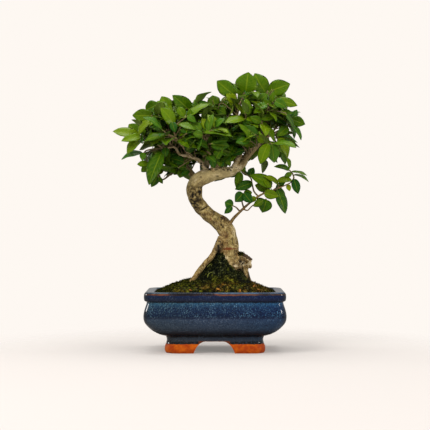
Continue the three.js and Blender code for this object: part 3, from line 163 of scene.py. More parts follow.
# Leafy sprays: name, pairs of leaves, the twig's points, and the leaves that the front view
# shows, each base x, base z, tip x, tip z, width seen, depth y, tip's change of depth
SPRAYS = [
    ("left_tip", 0, [(-60, -13.7, 243.5), (-65, -14.5, 249),
     (-70, -15, 254)], [(-67, 252, -88.5, 252, 12, -15, 0), (-74, 258, -60, 265, 12, -13, 3),
     (-59.5, 253, -67, 259, 3, -20, -3), (-63, 242, -75, 239.5, 7, -18, -2)]),
    ("left_outer", 0, [(-70, -15.8, 226.5), (-77, -17, 229.5),
     (-83, -17, 231)], [(-80, 229, -109, 235, 10, -17, -4), (-80, 231, -92.5, 243, 12, -16, 4),
     (-79, 229, -99.5, 224, 8, -19, -6), (-77, 231, -77, 244, 7, -13, 4),
     (-76, 228, -94, 210, 9, -20, -3), (-74, 228, -63, 225, 5, -22, -2)]),
    ("left_low", 0, [(-55, -13.6, 217.2), (-66, -16, 216), (-75, -17, 213), (-73, -18, 205),
     (-71.5, -18, 199)], [(-77, 211, -100, 205, 3, -18, -2), (-76, 212, -77, 203, 6, -22, -2),
     (-71.5, 200, -83, 199.5, 6, -19, -2), (-72, 198, -79, 191.5, 6, -15, 2),
     (-64, 219, -67, 226, 5, -21, -2)]),
    ("left_droop", 0, [(-45, -11.6, 219.2), (-50, -17, 218.5),
     (-55, -22, 214)], [(-56, 213, -70.5, 177.5, 14, -25, -6), (-53, 217, -52, 207, 7, -26, -3)]),
    ("left_back_low", 0, [(-60, 16, 185.6), (-63, 18, 189),
     (-66, 19, 191.5)], [(-61, 190, -70, 176, 8, 20, 3), (-63, 190, -57, 198, 6, 22, 3),
     (-61, 187, -57, 179.5, 4, 13, 0), (-66, 191, -75, 196, 8, 20, 4)]),
    ("left_mid", 1, [(-50.5, -12, 243), (-54, -15, 247),
     (-56, -19, 251)], [(-54, 250, -42, 254, 5, -21, -3), (-55, 247, -63, 233, 8, -22, -4)]),
    ("left_upright", 1, [(-48, 25.5, 248), (-51, 17, 252),
     (-51.4, 9.5, 256.6)], [(-50, 257, -58, 274.5, 13, 6, 2), (-51, 256, -68, 260, 9, 6, 2)]),
    ("left_big", 1, [(-24.5, 5, 252.5), (-25, 3, 258),
     (-21, 1, 262)], [(-26, 257, -46, 275, 14, 3, -3), (-24, 260, -9, 257.5, 8, -2, -6),
     (-20.5, 262, -15.5, 272, 9, 4, 3)]),
    ("left_inner", 1, [(-41.5, -36, 227.5), (-43, -38, 236), (-38, -38, 243),
     (-30, -36, 249)], [(-45, 243, -42, 232, 7, -42, -3), (-38, 241, -20, 235, 6, -42, -3),
     (-29, 250, -20, 243, 6, -38, -3), (-32, 250, -39, 260, 8, -34, 2)]),
    ("left_shoot", 1, [(-30.5, -12, 225), (-33, -15, 231),
     (-33, -18, 236)], [(-32, 232, -22, 227, 6, -20, -3), (-33, 236, -30, 246, 8, -18, 2)]),
    ("left_hanging", 0, [(-37, 10.6, 194.3), (-36, 5, 195.5),
     (-36, 0, 194)], [(-35.5, 194, -38, 185.5, 8, -1, -1), (-37, 194, -45, 189, 4, 2, 0)]),
    ("mid_arch", 0, [(-11, -38.5, 224.5), (-13, -41, 229),
     (-14, -42, 234)], [(-12, 232, 19, 228, 6, -44, -4), (-13, 226, 15, 226.5, 4, -36, 2),
     (-13, 229, -23, 231, 8, -46, -3), (-15, 234, -24, 243, 9, -38, 4)]),
    ("mid_upper", 1, [(-15, 3.8, 234.5), (-15, -8, 243),
     (-13, -16, 249)], [(-13, 249.5, 13, 242, 6, -18, -6), (-14, 249, -4, 257, 8, -16, 3)]),
    ("mid_low", 0, [(-8.4, 2.2, 208), (-12, -6, 213),
     (-15, -11, 219)], [(-15.5, 219, -11, 208, 6, -14, -3), (-9, 210, -4, 198.5, 4, -9, -3),
     (-15, 219, -24, 224, 8, -14, -2)]),
    ("front_low", 0, [(4.4, -1.6, 208), (5, -8, 211),
     (5, -13, 213)], [(4.5, 210.5, 5, 197, 8, -16, -3), (6, 213, 14, 222, 7, -14, 2)]),
    ("front_right_low", 0, [(25.8, -0.7, 210), (21, -8, 213),
     (17, -11, 215.5)], [(18, 214, 17, 202.5, 8, -14, -3), (16, 216, 9, 224, 7, -13, 2)]),
    ("top_mid", 0, [(-0.5, 5, 256), (-1, 3, 260), (1, 1, 264)], [(0, 263, -3, 275, 12, 0, 2),
     (2, 261, 14, 267, 10, 4, 4), (1, 260, 12, 254, 9, -4, -5)]),
    ("top_left", 0, [(24.4, 0, 259), (22, -5, 266),
     (20, -7, 273)], [(20, 275, 2, 289.5, 13, -8, -2), (22, 266, 12, 275, 9, -12, -3)]),
    ("top_crown", 0, [(28.5, 1, 268), (31, 2, 276),
     (34, 2, 281)], [(33, 278, 36, 299.5, 19, 0, -3), (30, 276, 24, 289, 9, 7, 4)]),
    ("top_right", 0, [(55.8, 1, 269), (56, 2, 275),
     (57, 2, 280)], [(55, 278, 43, 299.5, 14, 4, 3), (58, 279, 81, 287, 14, 0, -3)]),
    ("top_facing", 0, [(53.4, 0.2, 260), (49, -7, 263),
     (45, -11, 265)], [(45, 266, 33, 276.5, 9, -12, -2), (46, 265, 56, 275, 10, -14, -3),
     (46, 262, 57, 254, 5, -16, -4)]),
    ("right_stalk", 0, [(56.6, -16.5, 255.8), (60, -18, 263),
     (66, -18, 269)], [(67, 268.5, 88, 262, 9, -18, -3), (61, 266, 62, 277, 5, -21, -1),
     (64, 267, 76, 260, 9, -22, -4), (60, 263, 49, 268, 7, -20, 3)]),
    ("right_arched", 0, [(67, 6.2, 236), (76, 2, 240), (82, 0, 244),
     (84, -1, 249)], [(82, 243, 63, 270, 5, -5, -4), (83, 249, 97, 243, 10, -3, -3),
     (83, 242, 86, 227.5, 4, 4, 0), (82, 242, 93, 226, 5, -5, -2), (77, 241, 61, 247, 4, -10, -6),
     (78, 240, 66, 229.5, 9, -9, -6), (84, 249, 89, 260, 6, 4, 3)]),
    ("right_inner", 1, [(49, 2.3, 245), (60, -2, 251),
     (70, -6, 255)], [(69, 254, 57, 262.5, 8, -10, -4), (71, 255.5, 83, 254, 5, -8, -3),
     (62, 251, 48, 247, 7, -12, -5)]),
    ("right_glossy", 1, [(47, -12.8, 247.6), (49, -20, 247),
     (50, -26, 243)], [(49, 244, 37, 249.5, 8, -28, -4)]),
    ("right_front", 1, [(48.5, -30, 220.5), (53, -34, 222),
     (59, -36, 221)], [(56, 220.5, 47.5, 199, 11, -38, -3), (60, 220, 62.5, 200.5, 12, -36, 0),
     (53, 223, 44, 228, 8, -36, -2)]),
    ("right_side", 0, [(63, 6.9, 233.7), (68, 1, 229), (72, -3, 220),
     (77, -5, 208)], [(68, 228, 78, 206.5, 9, -13, -3), (72, 219, 70, 207, 5, 2, 3),
     (77.5, 207, 80, 194.5, 4, -6, -1), (70, 225, 84, 221, 8, 0, 2)]),
    ("right_mid", 1, [(48, 3, 233.5), (42, -5, 235),
     (35, -10, 233)], [(34, 232.5, 23, 222, 8, -14, -3), (40, 235, 42, 224, 7, -12, -3)]),
    ("low_first", 0, [(27, -3.5, 149), (23, -6, 153.5),
     (19, -7, 155.5)], [(18, 155, 10, 147, 6, -9, -2), (19.5, 156, 10.5, 159.5, 9, -7, 1)]),
    ("low_second", 0, [(31, -4.1, 153), (29, -8, 160),
     (29.5, -9, 167)], [(30, 169, 21.5, 159.5, 10, -11, -3), (31, 169, 39.5, 158.5, 9, -13, -3),
     (31, 168, 40, 170, 7, -7, 2)]),
    ("low_third", 0, [(46.5, -6.5, 165.5), (42, -4, 171), (40, -2, 179), (38, -1, 186),
     (28, 0, 193)], [(40, 180, 21.5, 173, 9, -5, -4), (27, 192, 23, 174, 8, -2, -3),
     (30, 192, 30, 200, 6, 2, 3), (37, 187, 42, 197, 7, 2, 3)]),
    ("low_big", 0, [(51, -7.2, 168), (56, -9, 172.5),
     (61, -10, 176.5)], [(61, 176.5, 37, 188.5, 11, -11, -4), (53, 169.5, 68, 165.5, 9, -15, -4),
     (59, 174, 43, 178, 9, -4, 4)]),
    ("low_round", 0, [(42, -8.8, 157), (48, -10, 160.5),
     (55, -11, 162.5)], [(55, 162, 50.5, 148, 13, -13, -2), (51, 161, 41, 154.5, 7, -14, -2)]),
    ("low_striped", 0, [(64, -8.2, 172.8), (67, -9, 174),
     (68.5, -10, 178.5)], [(67, 172.5, 75.5, 147, 10, -12, -4), (68, 175, 75, 162, 6, -5, 3),
     (67.5, 178.5, 52, 187, 5, -14, -2)]),
    ("low_tip", 0, [(81.5, -9.7, 180.6), (84.5, -10, 185), (83, -10, 190),
     (79, -10, 194.5)], [(82, 183, 65, 181, 6, -14, -3), (84.5, 184, 89, 168, 8, -12, -2),
     (82, 192, 99, 188, 3, -10, -3), (84.5, 188.5, 101, 181, 3, -8, -2),
     (79.5, 193.5, 63, 197.5, 5, -12, -1), (82, 190, 74, 187, 5, -14, -3)]),
    ("back_top", 2, [(0.4, 40, 239.5), (-4, 45, 244), (-7, 47, 249)], []),
    ("back_centre_left", 2, [(4, 24, 218), (-9, 32, 226), (-19, 38, 232)], []),
    ("back_centre_right", 2, [(2.4, 33, 229.5), (13, 42, 233), (23, 46, 238)], []),
    ("back_low", 2, [(5.2, 17, 209.5), (12, 28, 210), (15, 38, 214)], []),
    ("back_right_end", 2, [(48, 37, 234.5), (55, 41, 243), (59, 42, 251)], []),
    ("back_right_low", 2, [(37, 24, 216.5), (48, 28, 216), (58, 31, 219)], []),
    ("back_left_end", 2, [(-53, 34, 220.3), (-63, 37, 227), (-71, 37, 234)], []),
    ("back_left_low", 2, [(-37, 22, 206), (-50, 24, 206), (-61, 25, 209)], []),
    ("back_left_deep", 2, [(-46, 29.5, 214), (-42, 40, 222), (-38, 45, 229)], []),
    ("far_right_end", 2, [(68, 30.8, 242.8), (72, 34, 248), (73, 35, 255)], []),
    ("far_right_low", 2, [(60, 24.4, 234.7), (65, 20, 229), (67, 16, 222)], []),
    ("far_left_end", 2, [(-57, 27.4, 252.6), (-64, 28, 251), (-69, 26, 247)], []),
    ("back_left_under", 2, [(-30, 14, 199), (-30, 22, 202), (-32, 29, 203)], []),
    ("back_mid_left", 2, [(5, 18, 211), (-4, 25, 211), (-11, 28, 214)], []),
    ("back_upper_left", 2, [(-34, 21.2, 239), (-33, 33, 247), (-31, 40, 255)], []),
    ("back_crown", 2, [(26, 0.4, 262), (24, 14, 270), (23, 22, 277)], []),
    ("back_centre_top", 2, [(3, 4.2, 243.5), (10, 18, 253), (12, 27, 261)], []),
    ("right_back_top", 2, [(51.4, 1.3, 253), (61, 14, 260), (66, 22, 267)], []),
    ("front_left_low", 2, [(-36, -28, 220.6), (-46, -36, 227), (-54, -40, 234)], []),
    ("front_right_top", 2, [(36, -7, 238), (34, -20, 245), (32, -29, 253)], []),
]

# Rules that place the leaves. A pair of numbers is a start and a range, for a draw from 0 to 1.
HALF_BLADE = 0.38
SLENDER_SHARE = 0.42
PAIR_LENGTH = (19, 8)
PAIR_WIDTH = (0.5, 0.08)
PAIR_LEAN = (0.95, 0.3)
PAIR_TURN = (0.4, 0.7)
PAIR_STALK = 2.5
PAIR_START = 0.42
PAIR_DROOP = 0.18
TIP_LEAN = 0.4
DRAWS_EACH = 7
# Seeds of the draws: how many each spray takes up, the first of them for leaves that its solid
# leaves out, then the first ones of the litter and of the further leaves
SPRAY_SEEDS = 31
LEFT_OUT_SEED = 21
LITTER_SEED = 900
FURTHER_SEED = 700
FURTHER_SEEDS = 20
CROWN_CENTRE = np.array([-6.0, 0, 212])
FACE_OUTWARD = 0.7
FACE_UP = 0.75
FACE_FRONT = 0.25
DEPTH_TRIES = (0, -4, 4, -8, 8, -12, 12)
TURN_TRIES = (0, 0.5, -0.5, 1, -1, 1.5, -1.5)
TWIG_STEPS = 40
FOUND_WITHIN = 0.15

UP = np.array([0.0, 0, 1])
FRONT = np.array([0.0, -1, 0])


def chance(seed, number):
    """The same seed and number always give the same draw between 0 and 1."""
    value = math.sin(seed * 12.9898 + number * 78.233) * 43758.5453
    return value - math.floor(value)


def between(span, share):
    return span[0] + span[1] * share


def gone(span, value):
    """How far the value has gone along a span that is a start and a range."""
    return (value - span[0]) / span[1]


def held(value, low=0, high=1):
    return min(high, max(low, value))


def rough_at(x, y, z):
    return noise.noise(Vector((x, y, z)))


def unit(vector):
    return vector / np.linalg.norm(vector)


def square_to(axis, vector):
    """The part of the vector at right angles to the axis, made one long."""
    return unit(vector - axis * (vector @ axis))


def sideways(along, turn, skew=0.0):
    """The way out of a stem, turned round it; the skew serves stems that stand upright."""
    level = unit(np.cross(along, UP + skew))
    return level * math.cos(turn) + np.cross(level, along) * math.sin(turn)


def curve_point(points, share):
    """A point of the uniform Catmull-Rom curve through the points, share from 0 to 1."""
    points = np.asarray(points, float)
    last = len(points) - 1
    place = held(share) * last
    i = min(int(place), last - 1)
    t = place - i
    a = points[i - 1] if i > 0 else 2 * points[0] - points[1]
    b, c = points[i], points[i + 1]
    d = points[i + 2] if i + 2 <= last else 2 * points[last] - points[last - 1]
    start, end = (c - a) / 2, (d - b) / 2
    return (b + start * t + (3 * (c - b) - 2 * start - end) * t ** 2
            + (2 * (b - c) + start + end) * t ** 3)


def curve_tangent(points, share):
    step = 1e-4
    ahead = curve_point(points, min(share + step, 1))
    return unit(ahead - curve_point(points, max(share - step, 0)))


def linked(name, data):
    made = bpy.data.objects.new(name, data)
    bpy.context.scene.collection.objects.link(made)
    return made


def new_mesh(name, points, faces):
    mesh = bpy.data.meshes.new(name)
    mesh.from_pydata(np.asarray(points).tolist(), [], faces)
    return mesh


def vertex_values(mesh, field):
    values = np.zeros(len(mesh.vertices) * 3)
    mesh.vertices.foreach_get(field, values)
    return values.reshape(-1, 3)


def give(mesh, name, values, domain):
    """Stores a number, or a vector, for each point or face under the name."""
    values = np.asarray(values, np.float32)
    kind, field = ("FLOAT_VECTOR", "vector") if values.ndim == 2 else ("FLOAT", "value")
    mesh.attributes.new(name, kind, domain).data.foreach_set(field, values.ravel())


def finished(name, mesh, nodes, smooth=True):
    mesh.polygons.foreach_set("use_smooth", [smooth] * len(mesh.polygons))
    mesh.update()
    piece = linked(name, mesh)
    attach(piece, "root")
    if nodes:
        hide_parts(*nodes)
    return piece


class Shape:
    """Gathers points and faces, with a place for each point and a tone and side for each face."""

    def __init__(self):
        self.points, self.faces, self.slots = [], [], []
        self.place, self.tone, self.side = [], [], []

    def add(self, points, faces, slot, place, tone=0.0, side=0.0):
        first = len(self.points)
        self.points.extend(np.asarray(points, float).tolist())
        self.faces.extend([[first + i for i in face] for face in faces])
        self.slots.extend([slot] * len(faces))
        self.place.extend([tuple(p) for p in place])
        self.tone.extend([tone] * len(faces))
        self.side.extend([side] * len(faces) if np.isscalar(side) else side)

    def add_stem(self, path, sides, steps_each, tone, side=0.0, **how):
        """A closed twig or stalk along x, y, z, radius points, in the second material."""
        rings = tube(path, sides, steps_each, **how)
        self.add(rings.reshape(-1, 3), ring_faces(sides, len(rings)), 1,
                 [(0, 0, 0)] * (len(rings) * sides), tone, side)

    def piece(self, name, nodes, slot, materials, smooth=True):
        mesh = new_mesh(name, np.asarray(self.points) * MM + SHIFT, self.faces)
        for material in materials:
            mesh.materials.append(material)
        mesh.polygons.foreach_set("material_index", self.slots)
        give(mesh, "place", self.place, "POINT")
        give(mesh, "tone", self.tone, "FACE")
        give(mesh, "side", self.side, "FACE")
        return finished(name, mesh, nodes, smooth)


def ring_faces(count, rings):
    """Quads between rings of equal count, with both ends closed by one face."""
    faces = []
    for ring in range(rings - 1):
        for i in range(count):
            j = (i + 1) % count
            near, far = ring * count, (ring + 1) * count
            faces.append([near + i, near + j, far + j, far + i])
    faces.append(list(range(count))[::-1])
    faces.append([(rings - 1) * count + i for i in range(count)])
    return faces


def tube(path, sides, steps_each, wobble=0.0, seed=0.0, end_round=True):
    """Rings of points along the smooth curve through x, y, z, radius points."""
    path = np.asarray(path, float)
    total = (len(path) - 1) * steps_each
    across = np.array([1.0, 0, 0])
    rings, run, before = [], 0.0, None
    for step in range(total + 1):
        share = step / total
        x, y, z, radius = curve_point(path, share)
        centre = np.array([x, y, z])
        along = curve_tangent(path[:, :3], share)
        across = square_to(along, across)
        beside = np.cross(along, across)
        run += 0 if before is None else np.linalg.norm(centre - before)
        before = centre
        ring = []
        for side in range(sides):
            angle = 2 * math.pi * side / sides
            reach = radius
            if wobble:
                reach *= 1 + wobble * rough_at(math.cos(angle) * 1.3 + seed,
                                               math.sin(angle) * 1.3, run / (radius * 2.2))
            ring.append(centre + across * reach * math.cos(angle)
                        + beside * reach * math.sin(angle))
        rings.append(ring)
    if end_round:
        last = np.asarray(rings[-1])
        middle = last.mean(0)
        rings.append(list(middle + (last - middle) * 0.6 + along * radius * 0.35))
        rings.append(list(middle + along * radius * 0.5 + (last - middle) * 0.15))
    return np.asarray(rings)


# Leaves: how far across and along the rows of points stand, and how the blade bends
FINE_ACROSS = np.array([-1, -0.68, -0.34, 0, 0.34, 0.68, 1])
PLAIN_ACROSS = np.array([-1, -0.5, 0, 0.5, 1])
LEAF_THICKNESS = 0.3
LEAF_FOLD = (0.12, 0.2)
LEAF_ARCH = (0.05, 0.05)
LEAF_SWAY = 0.08
LEAF_RIPPLE = (0.05, 0.06)
LEAF_WIDEST = (0.74, 0.2)
TIP_DROOP = 0.03
# Stalks: the side number that marks them, the shortest one, and their radii
STALK_SIDE = 2.0
SHORTEST_STALK = 0.3
STALK_RADII = (0.5, 0.42, 0.42, 0.3)


def leaf_template(rows, columns):
    """Faces of one closed leaf: base, tip, upper rows, then the lower rows' inner points."""

    def upper(row, column):
        return 2 + row * columns + column

    def lower(row, column):
        if column in (0, columns - 1):
            return upper(row, column)
        return 2 + rows * columns + row * (columns - 2) + column - 1

    faces, sides = [], []
    for side, at in ((0.0, upper), (1.0, lower)):
        made = []
        for column in range(columns - 1):
            made.append([0, at(0, column + 1), at(0, column)])
            for row in range(rows - 1):
                made.append([at(row, column), at(row, column + 1),
                             at(row + 1, column + 1), at(row + 1, column)])
            made.append([1, at(rows - 1, column), at(rows - 1, column + 1)])
        faces.extend(face if side == 0 else face[::-1] for face in made)
        sides.extend([side] * len(made))
    return faces, sides


def leaf_grid(rows, across):
    """Shares along and across the blade, with its faces and which side each is on."""
    along = (1 - np.cos(np.pi * np.arange(1, rows + 1) / (rows + 1))) / 2
    return (along[:, None], across[None, :], *leaf_template(rows, len(across)))


FINE_LEAF = leaf_grid(10, FINE_ACROSS)
PLAIN_LEAF = leaf_grid(7, PLAIN_ACROSS)


def new_leaf(root, base, tip, normal, width):
    return {"root": root, "base": base, "tip": tip, "normal": normal, "width": width}


def add_leaf(shape, leaf, seed, tone, fine=True):
    """A curled blade, v along it and u across, on its stalk."""
    v, u, faces, sides = FINE_LEAF if fine else PLAIN_LEAF
    base, tip, normal = leaf["base"], leaf["tip"], leaf["normal"]
    along = tip - base
    length = np.linalg.norm(along)
    along = along / length
    right = np.cross(along, normal)
    half = leaf["width"] / 2
    fold = between(LEAF_FOLD, chance(seed, 1))
    arch = between(LEAF_ARCH, chance(seed, 2))
    sway = (chance(seed, 3) - 0.5) * LEAF_SWAY
    ripple = between(LEAF_RIPPLE, chance(seed, 4))
    phase = chance(seed, 5) * 6.3
    widest = between(LEAF_WIDEST, chance(seed, 6))
    outline = np.sin(np.pi * v ** widest) ** (0.46 + 0.4 * v)
    x = u * outline * half
    rise = (arch * length * 4 * v * (1 - v) - TIP_DROOP * length * v ** 3
            + fold * np.abs(x) ** 1.15 / max(half, 1) ** 0.15
            + ripple * half * u ** 2 * np.sin(v * 11 + phase + u * 1.2) * np.sqrt(outline))
    side = sway * length * 4 * v * (1 - v)
    thick = LEAF_THICKNESS * np.sqrt(np.clip(1 - u ** 2, 0, 1)) * (0.4 + 0.6 * outline)
    centre = base + along * (v * length)[..., None] + right * (x + side)[..., None]
    upper = centre + normal * (rise + thick / 2)[..., None]
    lower = centre + normal * (rise - thick / 2)[..., None]
    points = np.vstack([base[None], tip[None] - normal * TIP_DROOP * length,
                        upper.reshape(-1, 3), lower[:, 1:-1].reshape(-1, 3)])
    grid = np.stack([*np.broadcast_arrays(u, v), np.zeros(x.shape)], -1)
    place = np.vstack([[[0, 0, 0], [0, 1, 0]], grid.reshape(-1, 3),
                       grid[:, 1:-1].reshape(-1, 3)])
    shape.add(points, faces, 0, place, tone, sides)
    add_stalk(shape, leaf["root"], base, along, tone, 6 if fine else 4)


def with_radii(points, radii):
    return [(*point, radius) for point, radius in zip(points, radii)]


def add_stalk(shape, root, base, along, tone, count):
    gap = base - root
    reach = np.linalg.norm(gap)
    if reach < SHORTEST_STALK:
        return
    bend = root + gap * 0.55 - UP * min(0.12 * reach, 0.8)
    end = base + along * 1.2
    path = with_radii((root, bend, base, end), STALK_RADII)
    shape.add_stem(path, count, 2 if count > 4 else 1, tone, STALK_SIDE, end_round=False)


def solid_points(node):
    """The CAD node's corner points in millimetres, with the pot centred."""
    return (vertex_values(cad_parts[node].data, "co") - SHIFT) / MM


def nearest_on_twig(twig, place):
    steps = [curve_point(twig, step / TWIG_STEPS) for step in range(TWIG_STEPS + 1)]
    return min(steps, key=lambda p: np.sum((p - place) ** 2))


def seen_leaf(twig, row, shift):
    """The leaf that covers what the front view shows, moved back or forward by the shift."""
    base_x, base_z, tip_x, tip_z, width, depth, deeper = row
    base = np.array([base_x, depth + shift, base_z], float)
    tip = np.array([tip_x, depth + shift + deeper, tip_z], float)
    along = tip - base
    real_width = max(width, SLENDER_SHARE * np.linalg.norm(along))
    along = unit(along)
    facing = square_to(along, FRONT)
    beside = np.cross(along, facing)
    if beside[2] < 0:
        beside = -beside
    turn = math.acos(width / real_width)
    normal = facing * math.cos(turn) + beside * math.sin(turn)
    return new_leaf(nearest_on_twig(twig, base), base, tip, normal, real_width)


def paired_leaf(twig, pairs, seed, number, extra_turn):
    """One leaf of a spray that the photo doesn't show, in opposite pairs along the twig."""
    pair = number // 2
    side = 1 if number % 2 == 0 else -1
    at_tip = number == 2 * pairs

    def draw(k):
        return chance(seed, number * DRAWS_EACH + k)

    share = 1 if at_tip else PAIR_START + (1 - PAIR_START) * pair / pairs
    root = curve_point(twig, share)
    along = curve_tangent(twig, share)
    turn = pair * math.pi / 2 + between(PAIR_TURN, draw(1)) + extra_turn
    lean = abs(extra_turn) * TIP_LEAN if at_tip else between(PAIR_LEAN, draw(2))
    out = side * sideways(along, turn)
    axis = along * math.cos(lean) + out * math.sin(lean)
    axis = unit(axis - UP * PAIR_DROOP * draw(3))
    length = between(PAIR_LENGTH, draw(4))
    normal = unit(root - CROWN_CENTRE) * FACE_OUTWARD + FRONT * FACE_FRONT + UP * FACE_UP
    base = root + axis * PAIR_STALK
    return new_leaf(root, base, base + axis * length, square_to(axis, normal),
                    length * between(PAIR_WIDTH, draw(5)))


def placed(solid, tries):
    """The first of the tries whose tip stands on a point of the CAD solid, or None."""
    for leaf in tries:
        for face in (HALF_BLADE, -HALF_BLADE):
            away = np.sum((solid - (leaf["tip"] + leaf["normal"] * face)) ** 2, 1)
            if np.min(away) < FOUND_WITHIN ** 2:
                return leaf
    return None


def spray_leaves(index, spray):
    """The leaves that the CAD solid holds, then the front view's leaves that it leaves out."""
    name, pairs, twig, rows = spray
    solid = solid_points("spray_" + name)
    found = [placed(solid, [seen_leaf(twig, row, shift) for shift in DEPTH_TRIES])
             for row in rows]
    if pairs:
        found += [placed(solid, [paired_leaf(twig, pairs, index + 1, number, turn)
                                 for turn in TURN_TRIES]) for number in range(2 * pairs + 1)]
    left_out = [seen_leaf(twig, row, 0) for row, leaf in zip(rows, found) if leaf is None]
    return found, left_out


class Look:
    """A node material whose shader takes its colour, roughness and bump from nodes."""

    def __init__(self, name):
        self.material = bpy.data.materials.new(name)
        self.material.use_nodes = True
        self.tree = self.material.node_tree
        self.shader = self.tree.nodes["Principled BSDF"]
        self.output = self.tree.nodes["Material Output"]

    def node(self, kind, inputs, **settings):
        made = self.tree.nodes.new("ShaderNode" + kind)
        for key, value in settings.items():
            setattr(made, key, value)
        for key, value in inputs.items():
            self.set(made.inputs[key], value)
        return made

    def set(self, socket, value):
        if isinstance(value, bpy.types.NodeSocket):
            self.tree.links.new(value, socket)
        elif isinstance(value, tuple) and len(value) == 3 and socket.type == "RGBA":
            socket.default_value = (*value, 1)
        else:
            socket.default_value = value

    def math(self, operation, a, b=0.0, c=0.0):
        return self.node("Math", {0: a, 1: b, 2: c}, operation=operation).outputs[0]

    def times(self, a, b):
        return self.math("MULTIPLY", a, b)

    def line(self, value, slope, start):
        return self.math("MULTIPLY_ADD", value, slope, start)

    def minus(self, a, b):
        return self.math("SUBTRACT", a, b)

    def size(self, value):
        return self.math("ABSOLUTE", value)

    def span(self, value, low, high):
        """0 to 1 as the value goes smoothly from low to high, and held at its ends."""
        return self.node("MapRange", {"Value": value, "From Min": low, "From Max": high},
                         interpolation_type="SMOOTHSTEP").outputs[0]

    def mix(self, share, a, b, blend="MIX"):
        made = self.tree.nodes.new("ShaderNodeMix")
        made.data_type, made.blend_type = "RGBA", blend
        self.set(made.inputs[0], share)
        self.set(made.inputs[6], a)
        self.set(made.inputs[7], b)
        return made.outputs[2]

    def paint(self, colour, share, amount, *display):
        """The colour with a display colour laid over it, by the share times the amount."""
        return self.mix(self.times(share, amount), colour, srgb(*display))

    def ramp(self, value, *stops):
        """Colours along the value, each stop a place and a display colour."""
        made = self.node("ValToRGB", {"Fac": value})
        elements = made.color_ramp.elements
        elements.remove(elements[1])
        for i, (place, *display) in enumerate(stops):
            stop = elements.new(place) if i else elements[0]
            stop.position = place
            stop.color = (*srgb(*display), 1)
        return made.outputs[0]

    def vector(self, operation, vector, inputs):
        return self.node("VectorMath", {0: vector, **inputs}, operation=operation).outputs

    def where(self):
        """Place on the object in millimetres, with the pot centred."""
        at = self.node("TexCoord", {}).outputs["Object"]
        moved = self.vector("SUBTRACT", at, {1: tuple(SHIFT)})[0]
        return self.vector("SCALE", moved, {"Scale": 1 / MM})[0]

    def stretched(self, vector, scale):
        return self.vector("MULTIPLY", vector, {1: scale})[0]

    def noise(self, vector, size, detail=3.0, rough=0.55, distortion=0.0):
        """Noise from 0 to 1 whose patches are about size millimetres."""
        return self.node("TexNoise", {"Vector": vector, "Scale": 1 / size, "Detail": detail,
                                      "Roughness": rough, "Distortion": distortion}).outputs[0]

    def parts(self, vector):
        return self.node("SeparateXYZ", {0: vector}).outputs

    def given(self, name, output="Fac"):
        return self.node("Attribute", {}, attribute_name=name).outputs[output]

    def finish(self, colour, roughness, height, depth, specular=None):
        self.set(self.shader.inputs["Base Color"], colour)
        self.set(self.shader.inputs["Roughness"], roughness)
        bump = self.node("Bump", {"Height": height, "Distance": depth * MM})
        self.set(self.shader.inputs["Normal"], bump.outputs[0])
        if specular is not None:
            self.shader.inputs["Specular IOR Level"].default_value = specular
        return self.material


def srgb(red, green, blue):
    """Linear colour of a display colour given from 0 to 255."""
    def linear(value):
        value = value / 255
        return value / 12.92 if value <= 0.04045 else ((value + 0.055) / 1.055) ** 2.4
    return (linear(red), linear(green), linear(blue))


# Colour of the glaze by height in millimetres, some bands painted light, and the height that
# counts as 1
GLAZE_TOP = 66
# The grey-blue below 37 mm, darker towards the bottom, is a painted reflection, and the near-black
# from 17.6 to 20.4 mm is painted shade under the belly's overhang
GLAZE_AND_LIGHT_BANDS = [
    (10.4, 12, 8, 6), (12, 20, 16, 16), (13, 44, 50, 60), (16.2, 42, 54, 70), (17.6, 4, 5, 9),
    (20.4, 4, 6, 11), (24, 34, 46, 64), (28, 50, 66, 88), (36.6, 40, 58, 84),
    (38.2, 4, 22, 52), (43, 4, 26, 62), (48, 10, 36, 70), (50.6, 22, 56, 90),
    (53.4, 42, 86, 118), (54.4, 6, 12, 28), (56, 6, 20, 48), (61, 2, 26, 66),
    (61.9, 46, 28, 22), (62.9, 40, 22, 18), (63.4, 6, 14, 30), (64.3, 12, 32, 58),
    (65, 32, 58, 88),
]


